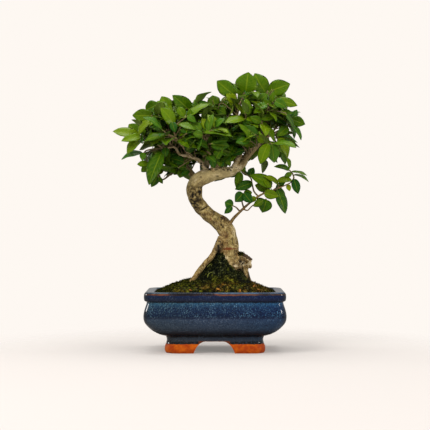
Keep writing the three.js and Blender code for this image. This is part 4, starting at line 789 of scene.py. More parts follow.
def glaze_look():
    look = Look("speckled_glaze")
    at = look.where()
    x, _, z = look.parts(at)
    drip = look.noise(look.stretched(at, (1, 1, 0.3)), 8, 3)
    run = look.times(look.minus(drip, 0.5), 2.4)
    height = look.math("ADD", z, run)
    base = look.ramp(look.math("DIVIDE", height, GLAZE_TOP),
                     *[(place / GLAZE_TOP, *display) for place, *display in GLAZE_AND_LIGHT_BANDS])

    # Speckles, thick in the pale band under the rim and thinner on the belly
    band = look.times(look.span(height, 37.5, 40), look.span(height, 55, 53.5))
    belly = look.times(look.span(height, 38, 36), look.span(height, 21, 24))
    amount = look.line(band, 0.65, look.line(belly, 0.3, 0.35))
    grain = look.noise(look.stretched(at, (1, 1, 0.6)), 0.95, 3, 0.8)
    cloud = look.span(look.noise(look.stretched(at, (1, 1, 1.6)), 9, 3), 0.36, 0.62)
    bright = look.times(look.times(look.span(grain, 0.5, 0.68), amount),
                        look.line(cloud, 0.9, 0.4))
    # From here the glaze's colour carries painted light too: the bands' painted reflection and
    # shade, then highlights on rim and seam and dark reflection at the ends
    glaze_and_light = look.mix(bright, base, look.mix(band, srgb(104, 120, 142), srgb(96, 134, 158)))
    pits = look.noise(at, 0.9, 2, 0.7)
    glaze_and_light = look.paint(glaze_and_light, look.span(pits, 0.5, 0.36), amount, 6, 12, 30)
    glaze_and_light = look.paint(glaze_and_light, look.span(look.noise(at, 4.5, 2), 0.62, 0.74), 0.55, 8, 16, 42)

    # Painted highlights: streaks of reflected light on the rim and along the brown seam under it,
    # darker between
    streak = look.noise(look.stretched(at, (1, 0.25, 0.15)), 26, 3, 0.5)
    rim_highlight = look.times(look.span(z, 62.9, 63.6), 0.6)
    seam = look.times(look.span(height, 61.3, 61.9), look.span(height, 63.3, 62.9))
    for place, low_tint, highlight_tint in ((rim_highlight, (8, 12, 24), (84, 110, 138)),
                                       (seam, (24, 18, 20), (120, 70, 46))):
        glaze_and_light = look.paint(glaze_and_light, place, look.span(streak, 0.52, 0.66), *highlight_tint)
        glaze_and_light = look.paint(glaze_and_light, place, look.span(streak, 0.48, 0.36), *low_tint)

    # Bluer to the right, greener to the left, with a painted dark reflection at the rounded ends
    for end, tint in ((60, (0.5, 0.8, 1.0)), (-60, (1.0, 0.98, 0.84))):
        glaze_and_light = look.mix(look.times(look.span(x, 0, end), 0.9), glaze_and_light, tint, "MULTIPLY")
    glaze_and_light = look.paint(glaze_and_light, look.span(look.size(x), 68, 75), 0.8, 5, 7, 14)

    # Bare clay of the feet, with a thin brown line over the front arch
    edge = look.noise(at, 3.5, 3)
    line = look.line(look.minus(edge, 0.5), 1.6, z)
    bare = look.span(line, 9.9, 9.5)
    from_arch = look.size(look.math("ADD", x, -FRONT_ARCH[2]))
    arch = look.times(look.span(line, 13.2, 12.8), look.span(from_arch, 17.5, 15.5))
    rough_clay = look.noise(at, 0.7, 4, 0.7)
    clay = look.mix(look.span(look.noise(at, 6, 4), 0.35, 0.65), srgb(168, 60, 4),
                    srgb(206, 96, 8))
    clay = look.mix(look.span(rough_clay, 0.55, 0.75), clay, srgb(96, 40, 12))
    colour = look.mix(bare, look.mix(arch, glaze_and_light, srgb(110, 52, 22)), clay)
    below = look.times(look.span(z, 25.5, 22.5), look.span(z, 19.6, 20.4))
    rough = look.line(below, 0.6, look.line(bare, 0.55, look.line(grain, 0.06, 0.05)))
    bump = look.math("ADD", look.times(grain, 0.2), look.times(look.times(rough_clay, bare), 0.6))
    return look.finish(colour, rough, bump, 0.12, 0.36)


def soil_look():
    look = Look("granular_soil")
    at = look.where()
    grains = look.node("TexVoronoi", {"Vector": at, "Scale": 1 / 2.2}).outputs["Distance"]
    colour = look.ramp(look.noise(at, 3, 4), (0.3, 34, 24, 18), (0.5, 66, 48, 34),
                       (0.7, 104, 84, 64))
    colour = look.mix(look.span(grains, 0.25, 0.6), colour, srgb(22, 16, 12))
    return look.finish(colour, 0.92, look.minus(1.0, grains), 0.9)


def moss_look():
    look = Look("living_moss")
    at = look.where()
    dry, dark, light = look.parts(look.given("place", "Vector"))
    patch = look.noise(at, 4.5, 4, 0.6)
    fine = look.noise(at, 1.3, 4, 0.7)
    green = look.ramp(patch, (0.3, 18, 22, 6), (0.45, 38, 44, 8), (0.56, 74, 78, 12),
                      (0.7, 124, 122, 22))
    brown = look.ramp(fine, (0.32, 30, 18, 6), (0.48, 92, 60, 16), (0.62, 150, 108, 34),
                      (0.72, 184, 144, 64))
    colour = look.paint(look.mix(dry, green, brown), look.span(fine, 0.57, 0.42), 0.9, 7, 9, 4)
    shade = look.ramp(look.noise(at, 2.6, 3, 0.6), (0.34, 3, 6, 6), (0.5, 10, 14, 10),
                      (0.59, 38, 44, 24), (0.68, 104, 106, 70))
    colour = look.paint(colour, look.span(look.noise(at, 3.0, 2), 0.5, 0.38), 0.85, 7, 9, 5)
    colour = look.mix(look.times(dark, 0.94), colour, shade)
    # Painted shade where little light is given: low lumps and the shoots' feet
    colour = look.paint(colour, look.span(light, 0.5, 0.1), 0.8, 8, 9, 4)
    # Painted light: a bright colour on the highest lumps and lit shoot tips
    top = look.times(look.span(light, 0.7, 1.0), look.span(dark, 1.3, 0.0))
    colour = look.mix(look.times(top, 0.5), colour,
                      look.mix(dry, srgb(128, 134, 34), srgb(184, 150, 84)))
    return look.finish(colour, 0.95, fine, 0.9, 0.15)


def bark_look():
    look = Look("tan_bark")
    at = look.where()
    ridge, stain_and_shade, zone = look.parts(look.given("place", "Vector"))
    broad = look.noise(at, 12, 3)
    patch = look.noise(at, 4.5, 4, 0.6, 0.6)
    fine = look.noise(look.stretched(at, (1, 1, 0.55)), 0.9, 5, 0.65)
    colour = look.ramp(patch, (0.3, 68, 50, 24), (0.43, 122, 100, 56), (0.55, 160, 138, 82),
                       (0.67, 198, 178, 124))
    upper = look.span(look.parts(at)[2], 172, 190)
    for share, amount, *display in (
            (look.span(broad, 0.45, 0.7), 0.4, 132, 120, 62),
            (look.span(ridge, 0.35, 0.0), 0.6, 66, 48, 24),
            (look.span(fine, 0.48, 0.34), 0.85, 44, 32, 14),
            (look.span(fine, 0.53, 0.68), 0.75, 206, 190, 146),
            (upper, 0.5, 206, 188, 136)):
        colour = look.paint(colour, share, amount, *display)
    # Pale bark, and painted light on the limbs
    colour = look.mix(look.span(ridge, 1.1, 1.8), colour, srgb(230, 212, 168))
    colour = look.mix(zone, colour, srgb(126, 68, 34))
    # Black stains, and painted shade in the hollows
    colour = look.mix(stain_and_shade, colour, srgb(20, 15, 9))
    height = look.math("ADD", fine, look.times(patch, 0.6))
    return look.finish(colour, look.line(fine, -0.2, 0.88), height, 0.35)


def twig_look():
    look = Look("green_brown_twig")
    at = look.where()
    tone = look.given("tone")
    stalk = look.span(look.given("side"), 0.0, STALK_SIDE)
    grain = look.noise(at, 1.2, 4, 0.6)
    bark = look.ramp(grain, (0.35, 74, 60, 38), (0.6, 138, 120, 84))
    green = look.mix(tone, srgb(86, 104, 44), srgb(150, 158, 70))
    green = look.mix(look.span(grain, 0.5, 0.7), green, srgb(120, 100, 52))
    return look.finish(look.mix(stalk, bark, green), 0.6, grain, 0.15)


def leaf_look():
    look = Look("privet_leaf")
    at = look.where()
    across, along, _ = look.parts(look.given("place", "Vector"))
    tone, under = look.given("tone"), look.given("side")
    away = look.size(across)
    mottle = look.noise(at, 3.2, 3, 0.5)
    base = look.ramp(tone, (0.0, 18, 46, 4), (0.25, 34, 73, 4), (0.5, 63, 98, 3),
                     (0.75, 88, 118, 4), (1.0, 134, 150, 10))
    base = look.mix(look.times(look.span(mottle, 0.4, 0.7), 0.3), base,
                    look.mix(0.5, base, srgb(132, 150, 20)))
    # Some leaves are yellower, by a draw from their tone, and others bluer, or darker and bluish,
    # a painted sheen of reflected sky
    draw = look.math("FRACT", look.times(tone, 53.7))
    for low, high, amount, *display in ((0.62, 0.8, 0.5, 34, 96, 32),
                                        (0.2, 0.05, 0.25, 140, 150, 14),
                                        (0.82, 0.92, 0.6, 14, 60, 12)):
        base = look.paint(base, look.span(draw, low, high), amount, *display)
    veins = look.minus(look.times(along, 8.0), look.times(away, 2.2))
    stripe = look.size(look.minus(look.math("FRACT", veins), 0.5))
    vein = look.times(look.span(stripe, 0.09, 0.02), look.span(away, 0.98, 0.6))
    rib = look.span(away, 0.1, 0.035)
    lines = look.math("MAXIMUM", rib, look.times(vein, 0.45))
    upper = look.paint(base, lines, 0.24, 168, 186, 40)
    lower = look.paint(look.mix(0.5, base, srgb(120, 140, 60)), lines, 0.3, 170, 190, 112)
    rough = look.line(under, 0.25, look.line(mottle, 0.2, 0.2))
    quilt = look.minus(look.times(mottle, 0.35), lines)
    return look.finish(look.mix(under, upper, lower), rough, quilt, 0.2, 0.18)


def dry_look():
    look = Look("dry_leaf")
    mottle = look.noise(look.where(), 1.5, 4, 0.6)
    colour = look.ramp(mottle, (0.35, 74, 40, 12), (0.5, 124, 76, 22), (0.65, 170, 122, 44))
    return look.finish(colour, 0.8, mottle, 0.25)


# Steps of the pot's curves, and the pieces that long and short sides come in
PROFILE_STEPS = 4
CORNER_STEPS = 12
CAVITY_STEPS = 8
RECESS_STEPS = 6
ARCH_STEPS = 12
DRAIN_STEPS = 40
POT_SIDES = (18, 13)
MOSS_SIDES = (71, 50)
SHARP_ANGLE = 38


def rounded_ring(half_length, half_depth, corner, height, steps, pieces=(1, 1)):
    """A rounded rectangle, counter-clockwise, its long and short sides in so many pieces."""
    ring = []
    for quarter, (side_x, side_y) in enumerate(((1, 1), (-1, 1), (-1, -1), (1, -1))):
        for step in range(steps + 1):
            angle = (quarter + step / steps) * math.pi / 2
            ring.append((side_x * (half_length - corner) + corner * math.cos(angle),
                         side_y * (half_depth - corner) + corner * math.sin(angle), height))
    full = []
    for i, start in enumerate(ring):
        start, end = np.array(start), np.array(ring[(i + 1) % len(ring)])
        straight = i % (steps + 1) == steps
        count = pieces[(i // (steps + 1)) % 2] if straight else 1
        full.extend(start + (end - start) * k / count for k in range(count))
    return np.array(full)


def lofted(rings):
    points = np.vstack(rings) * MM + SHIFT
    return linked("cutter", new_mesh("cutter", points, ring_faces(len(rings[0]), len(rings))))


def arch_cutter(arch, reach, turned):
    """Cuts the arch between two feet through the pot, from side to side or front to back."""
    foot, crown, middle = arch
    bulge = (foot + crown) / 2 + 2
    side = [(foot + 0.6, -1.0)]
    for step in range(ARCH_STEPS + 1):
        t = step / ARCH_STEPS
        side.append(((1 - t) ** 2 * foot + 2 * t * (1 - t) * bulge + t * t * crown,
                     2 * t * (1 - t) * (UNDERSIDE - 1) + t * t * UNDERSIDE))
    outline = [(middle + x, z) for x, z in side] + [(middle - x, z) for x, z in side[::-1]]
    return lofted([np.array([(end, x, z) if turned else (x, -end, z) for x, z in outline])
                   for end in (-reach, reach)])


def applied_mesh(target, others=()):
    """The mesh that the target becomes with its modifiers; it and the others then go."""
    depsgraph = bpy.context.evaluated_depsgraph_get()
    mesh = bpy.data.meshes.new_from_object(target.evaluated_get(depsgraph))
    for done in (*others, target):
        bpy.data.objects.remove(done)
    return mesh


def smooth_profile(profile):
    count = (len(profile) - 1) * PROFILE_STEPS
    return [curve_point(profile, step / count) for step in range(count + 1)]


def make_pot(material):
    rings = []
    for half_length, height in smooth_profile(POT_PROFILE):
        half_depth = POT_HALF_DEPTH - (POT_HALF_LENGTH - half_length) * POT_DEPTH_PER_LENGTH
        rings.append(rounded_ring(half_length, half_depth, POT_CORNER, height, CORNER_STEPS,
                                  POT_SIDES))
    body = lofted(rings)
    hollow = lofted([rounded_ring(half_length, half_depth, CAVITY_CORNER, height, CAVITY_STEPS)
                     for half_length, half_depth, height in smooth_profile(HOLLOW_PROFILE)])
    recess = lofted([rounded_ring(*RECESS, RECESS_CORNER, height, RECESS_STEPS)
                     for height in (-1, UNDERSIDE)])
    cutters = [hollow, recess, arch_cutter(FRONT_ARCH, POT_HALF_DEPTH, False),
               arch_cutter(SIDE_ARCH, POT_HALF_LENGTH, True)]
    angles = np.arange(DRAIN_STEPS) * 2 * math.pi / DRAIN_STEPS
    for x in (-DRAIN_SPACING, DRAIN_SPACING):
        circle = np.stack([x + DRAIN_RADIUS * np.cos(angles), DRAIN_RADIUS * np.sin(angles),
                           np.zeros(DRAIN_STEPS)], 1)
        cutters.append(lofted([circle + UP * height for height in (UNDERSIDE - 1, POT_FLOOR + 1)]))
    for cutter in cutters:
        cut = body.modifiers.new("cut", "BOOLEAN")
        cut.operation, cut.solver, cut.object = "DIFFERENCE", "MANIFOLD", cutter
    mesh = applied_mesh(body, cutters)
    mesh.materials.clear()
    mesh.materials.append(material)
    mesh.name = "glazed_pot"
    mesh.polygons.foreach_set("material_index", [0] * len(mesh.polygons))
    finished("glazed_pot", mesh, ["pot"])
    mesh.set_sharp_from_angle(angle=math.radians(SHARP_ANGLE))


# Patches of the moss: x, z, reach in x, reach in z, strength
DRY_PATCHES = [
    (12, 73, 12, 5, 0.75), (-12, 70, 8, 3, 0.5), (44, 72, 10, 5, 0.8), (52, 66, 9, 3, 0.6),
    (-38, 66, 9, 2, 0.35), (3, 67, 9, 2.5, 0.6), (30, 66, 6, 2, 0.6),
]
# The dark patches are dark moss, and painted shade in the hollows between the roots and beside the
# stump
DARK_AND_SHADED_PATCHES = [
    (28, 83, 6, 8, 1.1), (-5, 85, 10, 7, 0.8), (8, 90, 11, 9, 0.9), (5, 103, 8, 12, 1.0),
    (20, 83, 6, 3.5, 0.7), (-20, 67, 6, 2.4, 0.7), (-50, 63, 9, 1.8, 0.5), (37, 80, 5, 6, 0.7),
    (-13, 76, 6, 3.4, 0.8), (2, 69, 3.4, 1.6, 0.6), (34, 69, 5, 2, 0.7), (-32, 69, 4, 1.4, 0.5),
    (54, 64.5, 5, 1.6, 0.5),
]
BRIGHT_PATCHES = [
    (4.5, 77.4, 8, 1.8, 0.9), (18, 76, 7, 2.3, 1.0), (-14, 72, 5, 1.5, 0.5),
]
MOSS_RINGS = 84
# Cushions of the moss: size, rise, reach of one, and the span of lumps from painted shade to
# painted light
CUSHION_SIZE = 4.2
CUSHION_RISE = 2.0
CUSHION_REACH = 0.75
LUMP_LIGHT = (-1.5, 2.4)
# A shoot's foot and point as faces, and how many shoots stand in the moss, beside the stump and
# on the root in front
SPIKE = [[0, 2, 1], [0, 1, 3], [1, 2, 3], [2, 0, 3]]
FULL_TURN = 6.283
THIRD_TURN = 2.094
MOSS_SHOOTS = 9000
MOSS_SHOOTS_IN = 1.2
STUMP_SHOOTS = 220
STUMP_MOSS = np.array([27.6, -8.8, 102.8])
STUMP_MOSS_SIZE = (5.4, 5, 4.4)
ROOT_SHOOTS = 420
ROOT_MOSS = (25.5, 79)
ROOT_MOSS_REACH = (4.6, 9.5)
# The root in front is round this x and y, and this thick with its moss
ROOT_MIDDLE = (17.5, -5)
ROOT_RADIUS = 11.6


def bump(value, middle, reach):
    return math.exp(-((value - middle) / reach) ** 2)


def patch_share(patches, x, z):
    return min(1, sum(strength * bump(x, at_x, reach_x) * bump(z, at_z, reach_z)
                      for at_x, at_z, reach_x, reach_z, strength in patches))


def mound_height(x, y):
    along = max(0, 1 - (x / RIM_INNER[0]) ** 2)
    deep = max(0, 1 - (y / RIM_INNER[1]) ** 2)
    dome = MOUND_EDGE + MOUND_RISE * along * math.sqrt(deep)
    from_trunk = math.hypot(x - ROOT_CONE_CENTRE[0], y - ROOT_CONE_CENTRE[1])
    cone = ROOT_CONE_TOP - ROOT_CONE_SLOPE * from_trunk
    wave = MOSS_WAVE * math.sin(x * 0.31 + 1.3) * math.cos(y * 0.27 + 0.4) * along * deep
    return max(dome, cone) + wave


def moss_lump(x, y):
    """How far the cushions of moss stand out here, in millimetres."""
    near_cell = noise.voronoi(Vector((x / CUSHION_SIZE, y / CUSHION_SIZE, 0.3)))[0][0]
    cushion = CUSHION_RISE * math.sqrt(max(0, 1 - (near_cell / CUSHION_REACH) ** 2))
    return cushion + rough_at(x / 1.5, y / 1.5, 4.1) * 0.9 - 1.3


def moss_values(x, y, z):
    """How dry, dark and bright the moss is here."""
    spread = 0.5 + rough_at(x / 5, z / 4, y / 9)
    clump = rough_at(x / 2.4, z / 2, y / 9 + 7)
    dry = min(1, 1.5 * patch_share(DRY_PATCHES, x, z) * spread)
    dark = min(1, patch_share(DARK_AND_SHADED_PATCHES, x, z) * (0.75 + 0.4 * spread)
               + max(0, 1.6 * clump - 0.1))
    bright = min(1, patch_share(BRIGHT_PATCHES, x, z) * (0.3 + 1.1 * spread))
    return dry * (1 - 0.8 * bright), dark * (1 - bright), bright


def make_moss(material):
    shape = Shape()
    outline = rounded_ring(RIM_INNER[0] - MOSS_GAP, RIM_INNER[1] - MOSS_GAP, CAVITY_CORNER, 0,
                           CAVITY_STEPS, MOSS_SIDES)[:, :2]
    middle = np.array(MOUND_CENTRE)
    shares = np.linspace(0.02, 1, MOSS_RINGS) ** 0.9
    points, places = [], []
    for share in shares:
        for x, y in middle + share * (outline - middle):
            edge = min(1, (1 - share) * 14)
            lump = moss_lump(x, y)
            z = mound_height(x, y) + lump * (0.35 + 0.65 * edge)
            points.append((x, y, z))
            dry, dark, bright = moss_values(x, y, z)
            # Lumps that stand out are given painted light, low ones painted shade
            places.append((dry, dark, max(bright, held(gone(LUMP_LIGHT, lump)))))
    under = [(x, y, mound_height(x, y) - MOSS_THICKNESS) for share in (1, 0.7, 0.35, 0.05)
             for x, y in middle + share * (outline - middle)]
    faces = [face[::-1] for face in ring_faces(len(outline), len(shares) + 4)]
    shape.add(points + under, faces, 0, places + [(0, 0.8, 0)] * len(under))
    shape.piece("moss_cover", ["moss"], "moss", [material])


def add_shoot(shape, foot, wide, turn, tip, low, high, upright=False):
    """A closed three-sided spike; its foot lies flat, or upright where it grows to the front."""
    angles = [turn + k * THIRD_TURN for k in range(3)]
    ring = [foot + wide * np.array([math.cos(angle), 0, math.sin(angle)] if upright
                                   else [math.cos(angle), math.sin(angle), 0])
            for angle in angles]
    faces = [face[::-1] for face in SPIKE] if upright else SPIKE
    shape.add([*ring, foot + tip], faces, 0, [low] * 3 + [high])


def make_moss_shoots(material):
    """Little pointed shoots in the moss, beside the stump and on the root in front; painted shade
    at each foot and painted light at each tip.
    """
    shape = Shape()
    for number in range(MOSS_SHOOTS):
        x = (chance(3, number) * 2 - 1) * (RIM_INNER[0] - MOSS_SHOOTS_IN)
        y = (chance(5, number) * 2 - 1) * (RIM_INNER[1] - MOSS_SHOOTS_IN)
        z = mound_height(x, y) + moss_lump(x, y)
        turn = chance(7, number) * FULL_TURN
        tilt = between((0.3, 0.5), chance(11, number))
        tall = between((0.9, 1.5), chance(13, number) ** 2)
        wide = between((0.28, 0.22), chance(17, number))
        lean = np.array([math.cos(turn * 3) * tilt, math.sin(turn * 3) * tilt, 1])
        dry, dark, bright = moss_values(x, y, z)
        light = max(bright, between((0.25, 0.75), chance(19, number)))
        add_shoot(shape, np.array([x, y, z - 0.3]), wide, turn, unit(lean) * (tall + 0.3),
                  (dry, dark, 0.3), (dry, dark * 0.7, light))
    for number in range(STUMP_SHOOTS):
        turn = chance(23, number) * FULL_TURN
        tall = between((1.4, 1.8), chance(29, number))
        foot = STUMP_MOSS + np.array([(chance(draw, number) - 0.5) * size
                                      for draw, size in zip((31, 37, 41), STUMP_MOSS_SIZE)])
        lean = np.array([math.cos(turn), math.sin(turn) - 0.5, 1.2])
        add_shoot(shape, foot, 0.4, turn, unit(lean) * tall, (0, 0.1, 0.5), (0, 0, 0.95))
    for number in range(ROOT_SHOOTS):
        x, z = between((20.5, 9), chance(43, number)), between((71, 17), chance(47, number))
        if ((x - ROOT_MOSS[0]) ** 2 / ROOT_MOSS_REACH[0] ** 2
                + (z - ROOT_MOSS[1]) ** 2 / ROOT_MOSS_REACH[1] ** 2 > 1):
            continue
        y = ROOT_MIDDLE[1] - math.sqrt(max(0, ROOT_RADIUS ** 2 - (x - ROOT_MIDDLE[0]) ** 2))
        out = unit(np.array([chance(59, number) - 0.2, -1, 0.4 * chance(61, number)]))
        add_shoot(shape, np.array([x, y + 0.3, z]), 0.42, chance(53, number) * FULL_TURN,
                  out * between((1, 1.2), chance(67, number)), (0, 0.8, 0.3), (0, 0.5, 0.6), True)
    shape.piece("moss_shoots", ["moss"], "moss", [material], smooth=False)


# Dry leaves and yellow blades on the moss: base x, z, tip x, z, width
DRY_LEAVES = [
    (25.6, 63.4, 26.6, 68.6, 2.4), (1.4, 68.6, 6.8, 66, 2.2), (40, 69.5, 44, 71, 1.8),
    (48, 66.6, 44.2, 67.6, 1.6), (-24, 66.2, -27.6, 67.2, 1.5),
]
BLADES = [
    [(-7.6, 79.2), (-7.4, 81.6), (-5.6, 83.8), (-2.6, 84.8)],
    [(-8.8, 89.4), (-6.6, 91.6), (-4.4, 93.2)],
]


def front_of_mound(x, z):
    """The y where the front of the moss reaches this height."""
    return next((y for y in np.arange(-46, 20, 0.5) if mound_height(x, y) > z - 0.6), 0.0)


def make_litter(materials):
    shape = Shape()
    for number, (base_x, base_z, tip_x, tip_z, width) in enumerate(DRY_LEAVES):
        base = np.array([base_x, front_of_mound(base_x, base_z) - 1, base_z])
        tip = np.array([tip_x, front_of_mound(tip_x, tip_z) - 1.6, tip_z])
        normal = square_to(unit(tip - base), FRONT + UP * 0.5)
        add_leaf(shape, new_leaf(base, base, tip, normal, width), LITTER_SEED + number, 0.5)
    for blade in BLADES:
        path = [(x, front_of_mound(x, z) - 0.6 - 0.5 * i, z, 0.42 - 0.06 * i)
                for i, (x, z) in enumerate(blade)]
        shape.add_stem(path, 5, 4, 0.6, STALK_SIDE)
    shape.piece("litter_on_moss", [], "leaf", materials)


# Speckled black patches of the bark: x, z, reach in x, reach in z, strength
BARK_STAINS = [
    (-21, 162, 5.5, 10, 2.0), (-15, 172, 4, 4, 1.6), (16, 194.5, 12, 3, 1.1),
    (-4, 196, 6, 3, 1.8), (-14, 200, 3, 3, 1.2), (10, 142, 8, 3.5, 1.2),
    (26, 208, 6, 8, 0.7), (12, 118, 5, 6, 0.4), (-1, 151.5, 7, 3, 0.9), (24, 96, 6, 7, 0.7),
    (4, 113, 4, 8, 1.3), (-26, 176, 3, 9, 0.5), (30, 95, 5, 5, 0.9), (-12, 95, 9, 15, 0.55),
    (37, 89, 4, 2.5, 1.3),
]
# Hollows darkened with painted shade, and pale patches of the bark, those on the left limb round x
# = -32 and -46 being painted light, with the same columns
SHADED_HOLLOWS = [
    (25.5, 80.5, 4.4, 8, 1.3), (37.5, 79, 2, 7, 0.9), (4, 107, 3, 8, 1.0),
    (-56, 188, 20, 10, 0.6), (27.4, 96, 1.5, 2.8, 0.9), (20, 88, 1.6, 1.4, 0.8),
    (31.5, 96.5, 1.2, 3, 0.8), (24, 146, 7, 6, 0.25),
]
PALE_AND_LIT_PATCHES = [
    (36, 100.6, 4.5, 1.6, 1.6), (36, 94.5, 5, 4, 2.2), (23.5, 91.4, 4, 1.6, 1.6),
    (28.5, 93, 2.4, 3, 1.6), (32.4, 86, 2.6, 6, 1.8), (8.6, 98.4, 1.8, 3.2, 1.2),
    (2, 188, 12, 4.5, 0.4), (21, 126, 3.4, 10, 0.6), (-20, 181, 5, 5, 0.5), (13, 101, 5, 8, 0.5),
    (16, 133, 5, 3, 0.5), (5, 137, 7, 3, 0.4), (-32, 208, 20, 9, 2.4), (-46, 222, 9, 10, 1.6),
    (-13, 199, 7, 6, 1.8), (21, 199, 8, 10, 1.7),
]
# Marks on the front of the bark: x, z, reach in x, reach in z, turn in degrees, depth in
# millimetres, share of black stain, share of red-brown
BARK_MARKS = [
    (-21, 160, 2.4, 1.6, 30, 0.3, 0.95, 0), (-24, 165, 1.8, 1.2, -20, 0.3, 0.9, 0),
    (-18, 163, 1.3, 2.2, 10, 0.3, 0.85, 0), (-19, 156.5, 2.2, 1.2, -35, 0.3, 0.9, 0),
    (-17, 171.5, 1.3, 1.1, 0, 0.2, 0.95, 0), (-21, 168, 1.1, 1.0, 0, 0.2, 0.9, 0),
    (-20, 165, 1.0, 1.3, 20, 0.2, 0.85, 0), (-24, 161, 1.1, 1.4, 0, 0.2, 0.9, 0),
    (-26, 157, 1.0, 1.2, 0, 0.2, 0.85, 0), (-21, 153.5, 1.5, 1.3, 0, 0.3, 0.95, 0),
    (-11.7, 152.6, 5.4, 0.8, 32, 0.7, 0.95, 0), (11, 141.5, 5.6, 1.7, -27, 0.5, 0.6, 0.3),
    (7, 135, 1.2, 1.2, 0, 0.9, 0.95, 0), (8.5, 132.5, 1.1, 1.0, 0, 0.8, 0.9, 0),
    (16.5, 109, 10, 0.9, 4, 0.35, 0.2, 0.75), (13.5, 109.4, 5.5, 1.6, 3, 0.2, 0.1, 1),
    (19, 118, 0.7, 4.5, 5, 0.6, 0.7, 0.1),
    (10, 98, 1.1, 3.4, 20, 0.5, 0.5, 0.3), (-15, 186, 1.6, 1.1, 10, 0.3, 0.5, 0.2),
    (3, 187, 1.4, 1.0, 0, 0.3, 0.55, 0), (12.5, 128, 0.8, 2.6, 15, 0.3, 0.5, 0.1),
    (-4.6, 141.2, 0.8, 2.4, 12, 0.3, 0.25, 0.7), (-7.5, 150.5, 2.2, 0.5, 32, 0.2, 0.5, 0.1),
    (20, 92, 0.9, 3.5, -8, 0.5, 0.6, 0.1), (14, 88, 3.4, 0.8, 12, 0.3, 0.5, 0.1),
]
# How far a mark can reach in x and z, and the normal's y up to which the bark is its front
MARK_REACH = (12, 8)
FRONT_FACING = 0.1
# Sizes of the bark's roughness: strips round and along the stem, grain, lumps and swellings
STRIP_ROUND = 1.9
STRIP_ALONG = 7
GRAIN_SIZE = 1.3
LUMP_SIZE = 6
SWELL_SIZE = 10
# Radius from which the bark is fully rough, and where thin stems get painted light that makes them
# pale: height and reach
ROUGH_RADIUS = 6
LIT_STEMS = (222, 30)
THIN_TINT = 0.3
# Where the stump is broken, in x and z, where it is cut, and the values of the cut
BROKEN_X = (35, 8)
BROKEN_Z = (96, 9)
STUMP_HEIGHTS = (80, 115)
SAWN = (0.4, 0.75, 0.5)
# Samples of a stem between its points, how many are tried for a point of the skin, and how much
# a stem's radius counts there
STEM_STEPS = 12
NEAREST_TRIED = 8
RADIUS_COUNTS = 0.8


def remeshed(tubes, size):
    """One closed skin round all the tubes, of even quads about size millimetres wide."""
    points, faces = [], []
    for rings in tubes:
        first = len(points)
        points.extend(rings.reshape(-1, 3))
        faces.extend([[first + i for i in face]
                      for face in ring_faces(rings.shape[1], len(rings))])
    made = linked("wood", new_mesh("wood", points, faces))
    remesh = made.modifiers.new("even", "REMESH")
    remesh.mode, remesh.voxel_size = "VOXEL", size
    soften = made.modifiers.new("soften", "SMOOTH")
    soften.factor, soften.iterations = 0.5, 3
    return applied_mesh(made)


def stem_samples(paths):
    """Points along the middle of every stem: place, way on, run along it, radius."""
    rows = []
    for path in paths:
        total = (len(path) - 1) * STEM_STEPS
        run, before = 0.0, None
        for step in range(total + 1):
            x, y, z, radius = curve_point(path, step / total)
            here = np.array([x, y, z])
            run += 0 if before is None else np.linalg.norm(here - before)
            before = here
            way = curve_tangent(np.asarray(path)[:, :3], step / total)
            rows.append((*here, *way, run, radius))
    return np.array(rows)


def nearest_rows(points, rows):
    """For each point, the row of the stem whose skin lies nearest."""
    tree = kdtree.KDTree(len(rows))
    for i, row in enumerate(rows):
        tree.insert(row[:3], i)
    tree.balance()

    def to_skin(hit):
        return hit[2] - rows[hit[1]][7] * RADIUS_COUNTS

    return rows[[min(tree.find_n(point, NEAREST_TRIED), key=to_skin)[1] for point in points]]


def marks_at(point, fine):
    """Depth, black and red of each mark that reaches this point of the bark."""
    for at_x, at_z, reach_x, reach_z, turn, depth, black, red in BARK_MARKS:
        dx, dz = point[0] - at_x, point[2] - at_z
        if abs(dx) > MARK_REACH[0] or abs(dz) > MARK_REACH[1]:
            continue
        cos, sin = math.cos(math.radians(turn)), math.sin(math.radians(turn))
        far = math.hypot((dx * cos + dz * sin) / reach_x, (dz * cos - dx * sin) / reach_z)
        share = min(1, max(0, 1.25 - far + 0.4 * fine) * 1.6)
        yield depth * share, black * share, red * share


